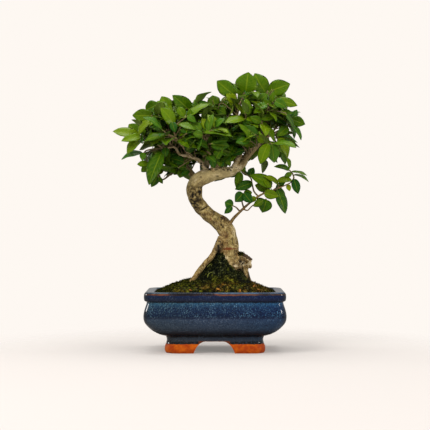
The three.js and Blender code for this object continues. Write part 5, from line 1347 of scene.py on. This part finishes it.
def bark_at(point, normal, row):
    """How far the skin moves out here, and its ridge with pale patches and painted light, its
    black stains with painted shade in hollows, and its tint.
    """
    way, run, radius = row[3:6], row[6], row[7]
    out = point - row[:3]
    across = unit(np.cross(way, (0.3, 1, 0.1)))
    angle = math.atan2(out @ np.cross(way, across), out @ across)
    around = Vector((math.cos(angle), math.sin(angle), 0)) * radius
    strip = rough_at(around.x / STRIP_ROUND, around.y / STRIP_ROUND, run / STRIP_ALONG)
    fine = rough_at(*point / GRAIN_SIZE)
    broad = rough_at(*point / LUMP_SIZE)
    ridge = 1 - min(1, abs(strip) * 3.2)
    share = min(1, radius / ROUGH_RADIUS)
    swell = rough_at(*point / SWELL_SIZE)
    move = share * (1.0 * swell + 0.45 * broad - 0.42 * ridge ** 2 + 0.1 * fine + 0.1)
    spot = rough_at(*point / 2.3) + 0.4 * rough_at(*point / 0.9)
    x, z = point[0], point[2]
    stain_and_shade = min(1, held(5 * spot - 0.2) * patch_share(BARK_STAINS, x, z))
    stain_and_shade = max(stain_and_shade, patch_share(SHADED_HOLLOWS, x, z))
    pale_and_lit = patch_share(PALE_AND_LIT_PATCHES, x, z) * held(0.8 + 2.2 * broad + 1.2 * spot)
    # Painted light on the thin stems high in the crown, under the leaves
    pale_and_lit = max(pale_and_lit, 0.5 * (1 - share) * bump(z, *LIT_STEMS))
    tint = THIN_TINT * (1 - share)
    if normal[1] < FRONT_FACING:
        for depth, black, red in marks_at(point, fine):
            move -= depth
            stain_and_shade = max(stain_and_shade, black)
            tint = max(tint, red)
    broken = bump(x, *BROKEN_X) * bump(z, *BROKEN_Z)
    move += broken * (1.3 * rough_at(*point / 2.6) + 0.7 * fine)
    return move, (1 - ridge * share + pale_and_lit * (1 + ridge * share), stain_and_shade, tint)


def bark_relief(points, normals, rows):
    """The skin of the wood moved in and out and sawn at the stump, with each point's values."""
    near_rows = nearest_rows(points, rows)
    moves, places = zip(*(bark_at(*given) for given in zip(points, normals, near_rows)))
    points, places = points + normals * np.array(moves)[:, None], list(places)
    low, high = STUMP_HEIGHTS
    for i in np.flatnonzero((points[:, 0] > STUMP_END) & (points[:, 2] > low)
                            & (points[:, 2] < high)):
        points[i, 0] = STUMP_END + 0.4 * rough_at(*points[i] / 1.8)
    sawn = STUMP_FACE[0] + STUMP_FACE[1] * (points[:, 0] - 30) + STUMP_FACE[2] * points[:, 1]
    for i in np.flatnonzero((points[:, 0] > STUMP_FROM) & (points[:, 2] > sawn - 0.2)
                            & (points[:, 2] < high)):
        points[i, 2] = sawn[i] + 0.5 * rough_at(*points[i] / 1.4)
        places[i] = SAWN
    return points, places


def thinned(path, number):
    """The path of the limb with this number, as thin as the real one."""
    keep = THIN_LIMBS.get(number, 1)
    return [(x, y, z, radius * keep) for x, y, z, radius in path]


def make_wood(name, paths, material, size, sides):
    tubes = [tube(path, sides, 5, wobble=0.1, seed=i * 3.7) for i, path in enumerate(paths)]
    mesh = remeshed(tubes, size)
    points, places = bark_relief(vertex_values(mesh, "co"), vertex_values(mesh, "normal"),
                                 stem_samples(paths))
    mesh.vertices.foreach_set("co", (points * MM + SHIFT).ravel())
    give(mesh, "place", places, "POINT")
    mesh.materials.append(material)
    mesh.name = name
    finished(name, mesh, ["wood"])


# How the sprays' leaves differ from the solids: fuller, wider and of one tone above a height,
# and turned to the front where they stand on edge
FULLER = 1.18
TOP_LEAVES = 286
TOP_TONE = 0.53
TOP_WIDER = 1.12
EDGE_ON = 0.3
TURNED_BY = 0.4
# Light of a leaf: the height, and the way ahead, where it starts and over what it grows by one
LIGHT_UP = (180, 110)
LIGHT_AHEAD = (10, 120)


def add_spray_leaf(shape, leaf, seed):
    tip = leaf["tip"]
    light = gone(LIGHT_UP, tip[2]) + gone(LIGHT_AHEAD, -tip[1])
    tone = held(0.42 + 0.2 * light + 0.44 * (chance(seed, 9) - 0.45))
    leaf["width"] *= FULLER
    if tip[2] > TOP_LEAVES:
        tone = TOP_TONE
        leaf["width"] *= TOP_WIDER
    facing = leaf["normal"] @ FRONT
    if abs(facing) < EDGE_ON:
        leaf["normal"] = square_to(unit(tip - leaf["base"]),
                                   leaf["normal"] + FRONT * math.copysign(TURNED_BY, facing))
    add_leaf(shape, leaf, seed, tone)


def make_spray(index, spray, materials, others):
    name, _, twig, _ = spray
    shape = Shape()
    path = [(*p, 1.0 - 0.35 * i / (len(twig) - 1)) for i, p in enumerate(twig)]
    shape.add_stem(path, 8, 5, 0.3, wobble=0.12, seed=index)
    found, left_out = spray_leaves(index, spray)
    for number, leaf in enumerate(found):
        if leaf is not None:
            add_spray_leaf(shape, leaf, index * SPRAY_SEEDS + number + 1)
    for number, leaf in enumerate(left_out):
        add_spray_leaf(others, leaf, index * SPRAY_SEEDS + number + LEFT_OUT_SEED)
    shape.piece("leafy_" + name, ["spray_" + name], "leaf", materials)


# Leaves that fill the crown, on short side twigs of the limbs. The outline is the edge of the
# dense part of the crown from the front, x and z, and the other leaves stand out past it.
CROWN_EDGE = [
    (-89, 241), (-76, 250), (-70, 262), (-58, 267), (-48, 273), (-35, 273), (-26, 264),
    (-7, 267), (11, 268), (20, 274), (44, 276), (63, 270), (85, 261), (90, 246), (84, 235),
    (75, 228), (64, 226), (52, 218), (44, 206), (30, 197), (4, 195), (-15, 197), (-24, 188),
    (-44, 189), (-58, 184), (-74, 192), (-78, 205), (-72, 217), (-88, 225),
]
# Further leaves that the front view shows, by the stem that carries them: base x, base z, tip x,
# tip z, width seen, depth y, tip's change of depth, tone
FURTHER_LEAVES = [
    ("under_bend", TRUNK, [
        (16, 188, -1, 182, 5, 8, -2, 0.6), (25, 190, 15, 187, 5, 9, 2, 0.35),
        (29, 195, 36, 188, 5, 7, 2, 0.5)]),
    ("on_low_branch", LIMBS[19], [
        (60, 174, 51, 186, 6, -12, -3, 0.75), (44, 164, 35, 159.5, 6.5, -8, -3, 0.85),
        (66, 171, 78, 184, 6, -6, 3, 0.35), (78, 178, 80, 171, 5.5, -12, -2, 0.95),
        (45, 163, 57, 157, 6, -4, 2, 0.3), (70, 175, 60, 168, 6, -3, 3, 0.3)]),
    ("over_left_fork", LIMBS[4], [
        (-29, 194, -37, 188.5, 7, 2, -8, 0.35),
        (-31, 196, -41, 197.5, 7.5, -4, -8, 0.25), (-40, 194.5, -50, 192, 6, 2, -8, 0.4)]),
    ("over_bend", LIMBS[12], [
        (-3, 206, -1, 195, 7.5, -22, 2, 0.5), (5, 207, 8.5, 196.5, 7, -18, 2, 0.35),
        (11, 206, 17, 199, 7, -16, 2, 0.45), (-1, 208, 5, 200, 7, -20, 2, 0.25)]),
]
# Light places between the leaves: x, z, reach
CROWN_WINDOWS = [
    (4, 255.5, 2.6), (18, 250, 3.6), (28, 256, 2.2), (-15, 251.6, 2), (55, 242, 3.2),
    (19, 239, 2), (-1, 236.5, 1.6), (-73.5, 216.7, 3.4), (31, 263.5, 1.8), (50, 280, 4),
    (-2, 212.7, 1.2), (62, 227, 3), (70, 229, 4), (80, 228, 4), (61, 215, 2), (-60, 214, 3),
    (46, 243, 2.4), (12, 262, 2), (-34, 240, 1.6), (40, 259, 1.6),
]
WINDOW_MARGIN = 1.6
# How deep the crown is at its middle, its span from there up or down, and its reach aside
CROWN_DEEP = 50
CROWN_UP = (222, 62)
CROWN_WIDE = 105
# Twigs: the limbs that carry them, and how they stand, turned from station to station, from
# side to side and from pair to pair
FILL_LIMBS = (0, 1, 2, 5, 6, 7, 8, 9, 10, 11, 12, 13, 14, 15, 16, 17, 18)
FILL_START = 0.25
FILL_SPACING = 5.5
FILL_SIDES = 3
STATION_TURN = 2.4
SIDE_TURN = 2.1
PAIRS_TURN = 1.57
FILL_LOWEST = 188
FILL_TWIG = (7, 16)
TWIG_RADII = (0.8, 0.65, 0.45)
# Leaves: how many a twig leaves out, more so to the sides, their sizes and ways
LEAVES_EACH = 5
LEAF_SEEDS = 7
FILL_BARE = 0.16
BARE_ENDS = 0.3
FILL_TURNS = (0, 0.7, -0.7, 1.5)
FILL_LOOSE = 1.5
FILL_LENGTH = (13, 9)
FILL_WIDTH = (0.58, 0.14)
FILL_STALK = 1.8
# Painted light of a fill leaf: height and way ahead where it starts and over what it grows by one,
# and the brightest tone
FILL_UP = (205, 70)
FILL_AHEAD = (-5, 60)
FILL_BRIGHTEST = 0.8
# What the leaves keep clear of: wood, limbs that the photo shows, and the big leaves
CLEAR_OF_WOOD = 1.5
SHOWN_LIMBS = (0, 4, 11, 19, 20)
SHOWN_TRUNK = 16
SHOWN_MARGIN = 2.5
BIG_WIDTH = 11
BIG_SHARE = 0.4
BIG_AHEAD = 6
# Points over a blade where it is tested, as shares of its length and of half its width, from its
# foot to its tip; the first two may be near the wood, and the sixth is the middle
LEAF_TESTS = ((0.15, 0), (0.35, 0.8), (0.35, -0.8), (0.6, 0.8), (0.6, -0.8), (0.5, 0), (0.8, 0),
              (1, 0))
NEAR_FOOT = 2
AT_MIDDLE = 5


def inside_edge(edge, x, z):
    inside = False
    for (ax, az), (bx, bz) in zip(edge, edge[1:] + edge[:1]):
        if (az > z) != (bz > z) and x < ax + (z - az) / (bz - az) * (bx - ax):
            inside = not inside
    return inside


def in_crown(place):
    x, y, z = place
    up, aside = gone(CROWN_UP, z), x / CROWN_WIDE
    deep = CROWN_DEEP * math.sqrt(max(0, 1 - up ** 2)) * math.sqrt(max(0, 1 - aside ** 2))
    return inside_edge(CROWN_EDGE, x, z) and abs(y) < deep


def in_window(place):
    return any(math.hypot(place[0] - x, place[2] - z) < reach + WINDOW_MARGIN
               for x, z, reach in CROWN_WINDOWS)


def big_leaves():
    """Middle and half length of the big leaves, which nothing may hide."""
    rows = [row for spray in SPRAYS for row in spray[3] if row[4] >= BIG_WIDTH]
    return np.array([((row[0] + row[2]) / 2, row[5], (row[1] + row[3]) / 2,
                      BIG_SHARE * math.hypot(row[2] - row[0], row[3] - row[1])) for row in rows])


def fits_crown(leaf, rows, shown, big):
    along = leaf["tip"] - leaf["base"]
    right = unit(np.cross(along, leaf["normal"])) * leaf["width"] / 2
    spots = np.array([leaf["base"] + along * share + right * side for share, side in LEAF_TESTS])
    aside = spots[:, None, [0, 2]] - big[None, :, [0, 2]]
    covers = np.sqrt((aside ** 2).sum(2)) < big[None, :, 3]
    if np.any(covers & (spots[:, None, 1] < big[None, :, 1] + BIG_AHEAD)):
        return False
    if (not in_crown(spots[-1]) or not in_crown(spots[AT_MIDDLE])
            or any(in_window(spot) for spot in spots)):
        return False
    away = np.sqrt(((spots[:, None] - rows[None, :, :3]) ** 2).sum(2)) - rows[None, :, 7]
    if away[NEAR_FOOT:].min() < CLEAR_OF_WOOD:
        return False
    flat = spots[:, None, [0, 2]] - shown[None, :, [0, 2]]
    over = np.sqrt((flat ** 2).sum(2)) < shown[None, :, 7] + SHOWN_MARGIN
    return not np.any(over & (spots[:, None, 1] < shown[None, :, 1] + 1))


def fill_twig(limb, share, turn, seed):
    """Three points of a side twig that bends up a little."""
    foot = curve_point(limb, share)
    way = curve_tangent(limb, share)
    aim = unit(sideways(way, turn, 0.02) + way * 0.5 + UP * 0.25)
    reach = between(FILL_TWIG, chance(seed, 3))
    return np.array([foot, foot + aim * reach * 0.55 + UP * 0.6, foot + aim * reach])


def fill_leaf(root, along, turn, lean, seed):
    out = sideways(along, turn, 0.01)
    axis = unit(along * math.cos(lean) + out * math.sin(lean) - UP * 0.2 * chance(seed, 23))
    length = between(FILL_LENGTH, chance(seed, 29))
    loose = np.array([chance(seed, k) - 0.5 for k in (51, 53, 57)])
    normal = (unit(root - CROWN_CENTRE) * 0.5 + FRONT * between((0.2, 0.5), chance(seed, 31))
              + UP * 0.7 + loose * FILL_LOOSE)
    base = root + axis * FILL_STALK
    return new_leaf(root, base, base + axis * length, square_to(axis, normal),
                    length * between(FILL_WIDTH, chance(seed, 37)))


def fill_tone(leaf, seed):
    """Painted light where the leaf stands high or well forward, painted shade deep inside the
    crown, and a random share.
    """
    _, y, z = (leaf["base"] + leaf["tip"]) / 2
    light = 0.36 + 0.06 * gone(FILL_UP, z) + 0.24 * gone(FILL_AHEAD, -y)
    return held(light + 0.6 * (chance(seed, 41) - 0.4), high=FILL_BRIGHTEST)


def leaves_of_twig(twig, seed, *kept_clear):
    """The leaves of a side twig that fit, two pairs and one at its tip, with their seeds."""
    for number in range(LEAVES_EACH):
        leaf_seed = seed * LEAF_SEEDS + number
        if chance(leaf_seed, 43) < FILL_BARE + BARE_ENDS * (twig[2][0] / 80) ** 2:
            continue
        pair, at_tip = number // 2, number == LEAVES_EACH - 1
        at = 1 if at_tip else 0.5 + 0.45 * pair
        root = curve_point(twig, at)
        along = curve_tangent(twig, at)
        turn = (number % 2) * math.pi + pair * PAIRS_TURN
        for extra in FILL_TURNS:
            lean = 0.25 * abs(extra) if at_tip else between((0.95, 0.3), chance(leaf_seed, 5))
            leaf = fill_leaf(root, along, turn + extra + chance(leaf_seed, 6), lean, leaf_seed)
            if fits_crown(leaf, *kept_clear):
                yield leaf, leaf_seed
                break


def make_fill(materials):
    kept_clear = (stem_samples([TRUNK, *LIMBS]), stem_samples(
        [TRUNK[SHOWN_TRUNK:], *[LIMBS[i] for i in SHOWN_LIMBS]]), big_leaves())
    seed = 0
    for number in FILL_LIMBS:
        limb = np.asarray(LIMBS[number])[:, :3]
        length = np.linalg.norm(np.diff(limb, axis=0), axis=1).sum()
        shape = Shape()
        stations = int(length * (1 - FILL_START) / FILL_SPACING) + 1
        for station, side in ((i, j) for i in range(stations) for j in range(FILL_SIDES)):
            seed += 1
            share = min(1, FILL_START + (station + 0.4 * side) * FILL_SPACING / length)
            turn = station * STATION_TURN + side * SIDE_TURN + chance(seed, 2)
            twig = fill_twig(limb, share, turn, seed)
            if twig[0][2] < FILL_LOWEST:
                continue
            leaves = list(leaves_of_twig(twig, seed, *kept_clear))
            for leaf, leaf_seed in leaves:
                add_leaf(shape, leaf, leaf_seed, fill_tone(leaf, leaf_seed), fine=False)
            if leaves:
                shape.add_stem(with_radii(twig, TWIG_RADII), 5, 3, 0.3, end_round=False)
        if shape.points:
            shape.piece(f"leafy_fill_{number}", [], "leaf", materials)


def make_further_leaves(materials):
    for index, (name, stem, rows) in enumerate(FURTHER_LEAVES):
        shape = Shape()
        stem = np.asarray(stem)[:, :3]
        for number, (*row, tone) in enumerate(rows):
            seed = FURTHER_SEED + index * FURTHER_SEEDS + number
            add_leaf(shape, seen_leaf(stem, row, 0), seed, tone)
        shape.piece("leafy_" + name, [], "leaf", materials)


# Floor, light and camera, in metres
BACKGROUND = srgb(254, 248, 242)
FLOOR_GLOW = 0.225
FLOOR_COLOUR = srgb(188, 184, 182)
FLOOR_UNSEEN = srgb(150, 146, 142)
FLOOR_RINGS = 24
FLOOR_SIDES = 64
FLOOR_STEP = 0.06
# The floor fades out round a place ahead of the pot, sooner to the sides, over this span
FADE_AHEAD = (0, 0.25, 0)
FADE_SHAPE = (1.6, 1, 1)
FADE_SPAN = (0.36, 0.62)
WORLD_LIGHT = (1, 0.97, 0.94, 1)
WORLD_STRENGTH = 0.35
MIDDLE = Vector((0, 0, 0.16))
WARM = (1, 0.97, 0.93)
# Lights: name, place, width, height, power, whether the glaze mirrors it
LIGHTS = [
    ("key", (-0.75, -0.95, 1.05), 0.7, 0.7, 15, False),
    ("fill", (0.8, -1.1, 0.4), 0.7, 0.9, 7.5, False),
    ("top", (0.05, 0.1, 1.3), 0.9, 0.9, 11, True),
    ("left_box", (-1.1, 0.45, 0.42), 0.22, 0.22, 2.2, True),
    ("right_box", (1.15, -0.2, 0.42), 0.2, 0.2, 2.0, True),
]
CAMERA_LENS = 119.8
CAMERA_SENSOR = 36
CAMERA_AWAY = 1.545
CAMERA_HEIGHT = 0.1455


def make_floor():
    """A disc that glows a little to the camera and fades out into the background."""
    points = [(0, 0, 0)]
    for ring in range(1, FLOOR_RINGS + 1):
        for i in range(FLOOR_SIDES):
            angle = i * 2 * math.pi / FLOOR_SIDES
            points.append((math.cos(angle) * ring * FLOOR_STEP,
                           math.sin(angle) * ring * FLOOR_STEP, 0))
    faces = [[0, 1 + i, 1 + (i + 1) % FLOOR_SIDES] for i in range(FLOOR_SIDES)]
    for ring in range(FLOOR_RINGS - 1):
        for i in range(FLOOR_SIDES):
            near, far = 1 + ring * FLOOR_SIDES, 1 + (ring + 1) * FLOOR_SIDES
            j = (i + 1) % FLOOR_SIDES
            faces.append([near + i, far + i, far + j, near + j])
    mesh = new_mesh("floor", points, faces)
    floor = linked("floor", mesh)
    look = Look("pale_floor")
    seen = look.node("LightPath", {}).outputs["Is Camera Ray"]
    pale_and_lit = look.node("BsdfDiffuse", {"Color": FLOOR_COLOUR}).outputs[0]
    glow = look.node("Emission", {"Color": BACKGROUND, "Strength": FLOOR_GLOW}).outputs[0]
    lit = look.node("AddShader", {0: pale_and_lit, 1: glow}).outputs[0]
    dim = look.node("BsdfDiffuse", {"Color": FLOOR_UNSEEN}).outputs[0]
    shown = look.node("MixShader", {0: seen, 1: dim, 2: lit}).outputs[0]
    at = look.node("TexCoord", {}).outputs["Object"]
    ahead = look.vector("ADD", at, {1: FADE_AHEAD})[0]
    far = look.vector("LENGTH", look.stretched(ahead, FADE_SHAPE), {})["Value"]
    clear = look.node("BsdfTransparent", {}).outputs[0]
    faded = look.node("MixShader", {0: look.span(far, *FADE_SPAN), 1: shown, 2: clear}).outputs[0]
    look.set(look.output.inputs["Surface"], faded)
    mesh.materials.append(look.material)


def make_light(name, place, width, height, power, mirrored):
    light = bpy.data.lights.new(name, "AREA")
    light.shape, light.size, light.size_y = "RECTANGLE", width, height
    light.energy, light.color = power, WARM
    made = linked(name, light)
    made.location = place
    made.rotation_mode = "QUATERNION"
    made.rotation_quaternion = (MIDDLE - Vector(place)).to_track_quat("-Z", "Y")
    made.visible_glossy = mirrored


def make_world():
    """The background's colour to the camera, and a dim warm light to all else."""
    world = bpy.data.worlds.new("studio")
    bpy.context.scene.world = world
    world.use_nodes = True
    nodes, links = world.node_tree.nodes, world.node_tree.links
    nodes.clear()
    path, shown, around, mixed, output = (nodes.new("ShaderNode" + kind) for kind in (
        "LightPath", "Background", "Background", "MixShader", "OutputWorld"))
    shown.inputs[0].default_value = (*BACKGROUND, 1)
    around.inputs[0].default_value = WORLD_LIGHT
    around.inputs[1].default_value = WORLD_STRENGTH
    for start, socket in ((path.outputs["Is Camera Ray"], mixed.inputs[0]),
                          (around.outputs[0], mixed.inputs[1]),
                          (shown.outputs[0], mixed.inputs[2]),
                          (mixed.outputs[0], output.inputs[0])):
        links.new(start, socket)


def make_camera():
    data = bpy.data.cameras.new("camera")
    data.lens, data.sensor_width = CAMERA_LENS, CAMERA_SENSOR
    camera = linked("camera", data)
    camera.location = (SHIFT[0], SHIFT[1] - CAMERA_AWAY, CAMERA_HEIGHT)
    camera.rotation_euler = (math.pi / 2, 0, 0)
    return camera


# Points of the left limb that the trunk's skin takes in
LIMB_FOOT = 4

bark = bark_look()
leaf_materials = [leaf_look(), twig_look()]
moss = moss_look()

make_pot(glaze_look())
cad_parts["soil"].data.materials.clear()
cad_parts["soil"].data.materials.append(soil_look())
make_moss(moss)
make_moss_shoots(moss)
make_wood("trunk_and_roots", [TRUNK, *ROOTS, *KNOBS, thinned(LIMBS[0][:LIMB_FOOT], 0)], bark,
          size=0.6, sides=28)
make_wood("limbs", [thinned(limb, i) for i, limb in enumerate(LIMBS)], bark, size=0.55, sides=14)
others = Shape()
for index, spray in enumerate(SPRAYS):
    make_spray(index, spray, leaf_materials, others)
others.piece("leafy_others", [], "leaf", leaf_materials)
make_fill(leaf_materials)
make_further_leaves(leaf_materials)
make_litter([dry_look(), leaf_materials[1]])

make_floor()
make_world()
for light in LIGHTS:
    make_light(*light)
bpy.context.scene.camera = make_camera()
bpy.context.scene.view_settings.view_transform = "Standard"
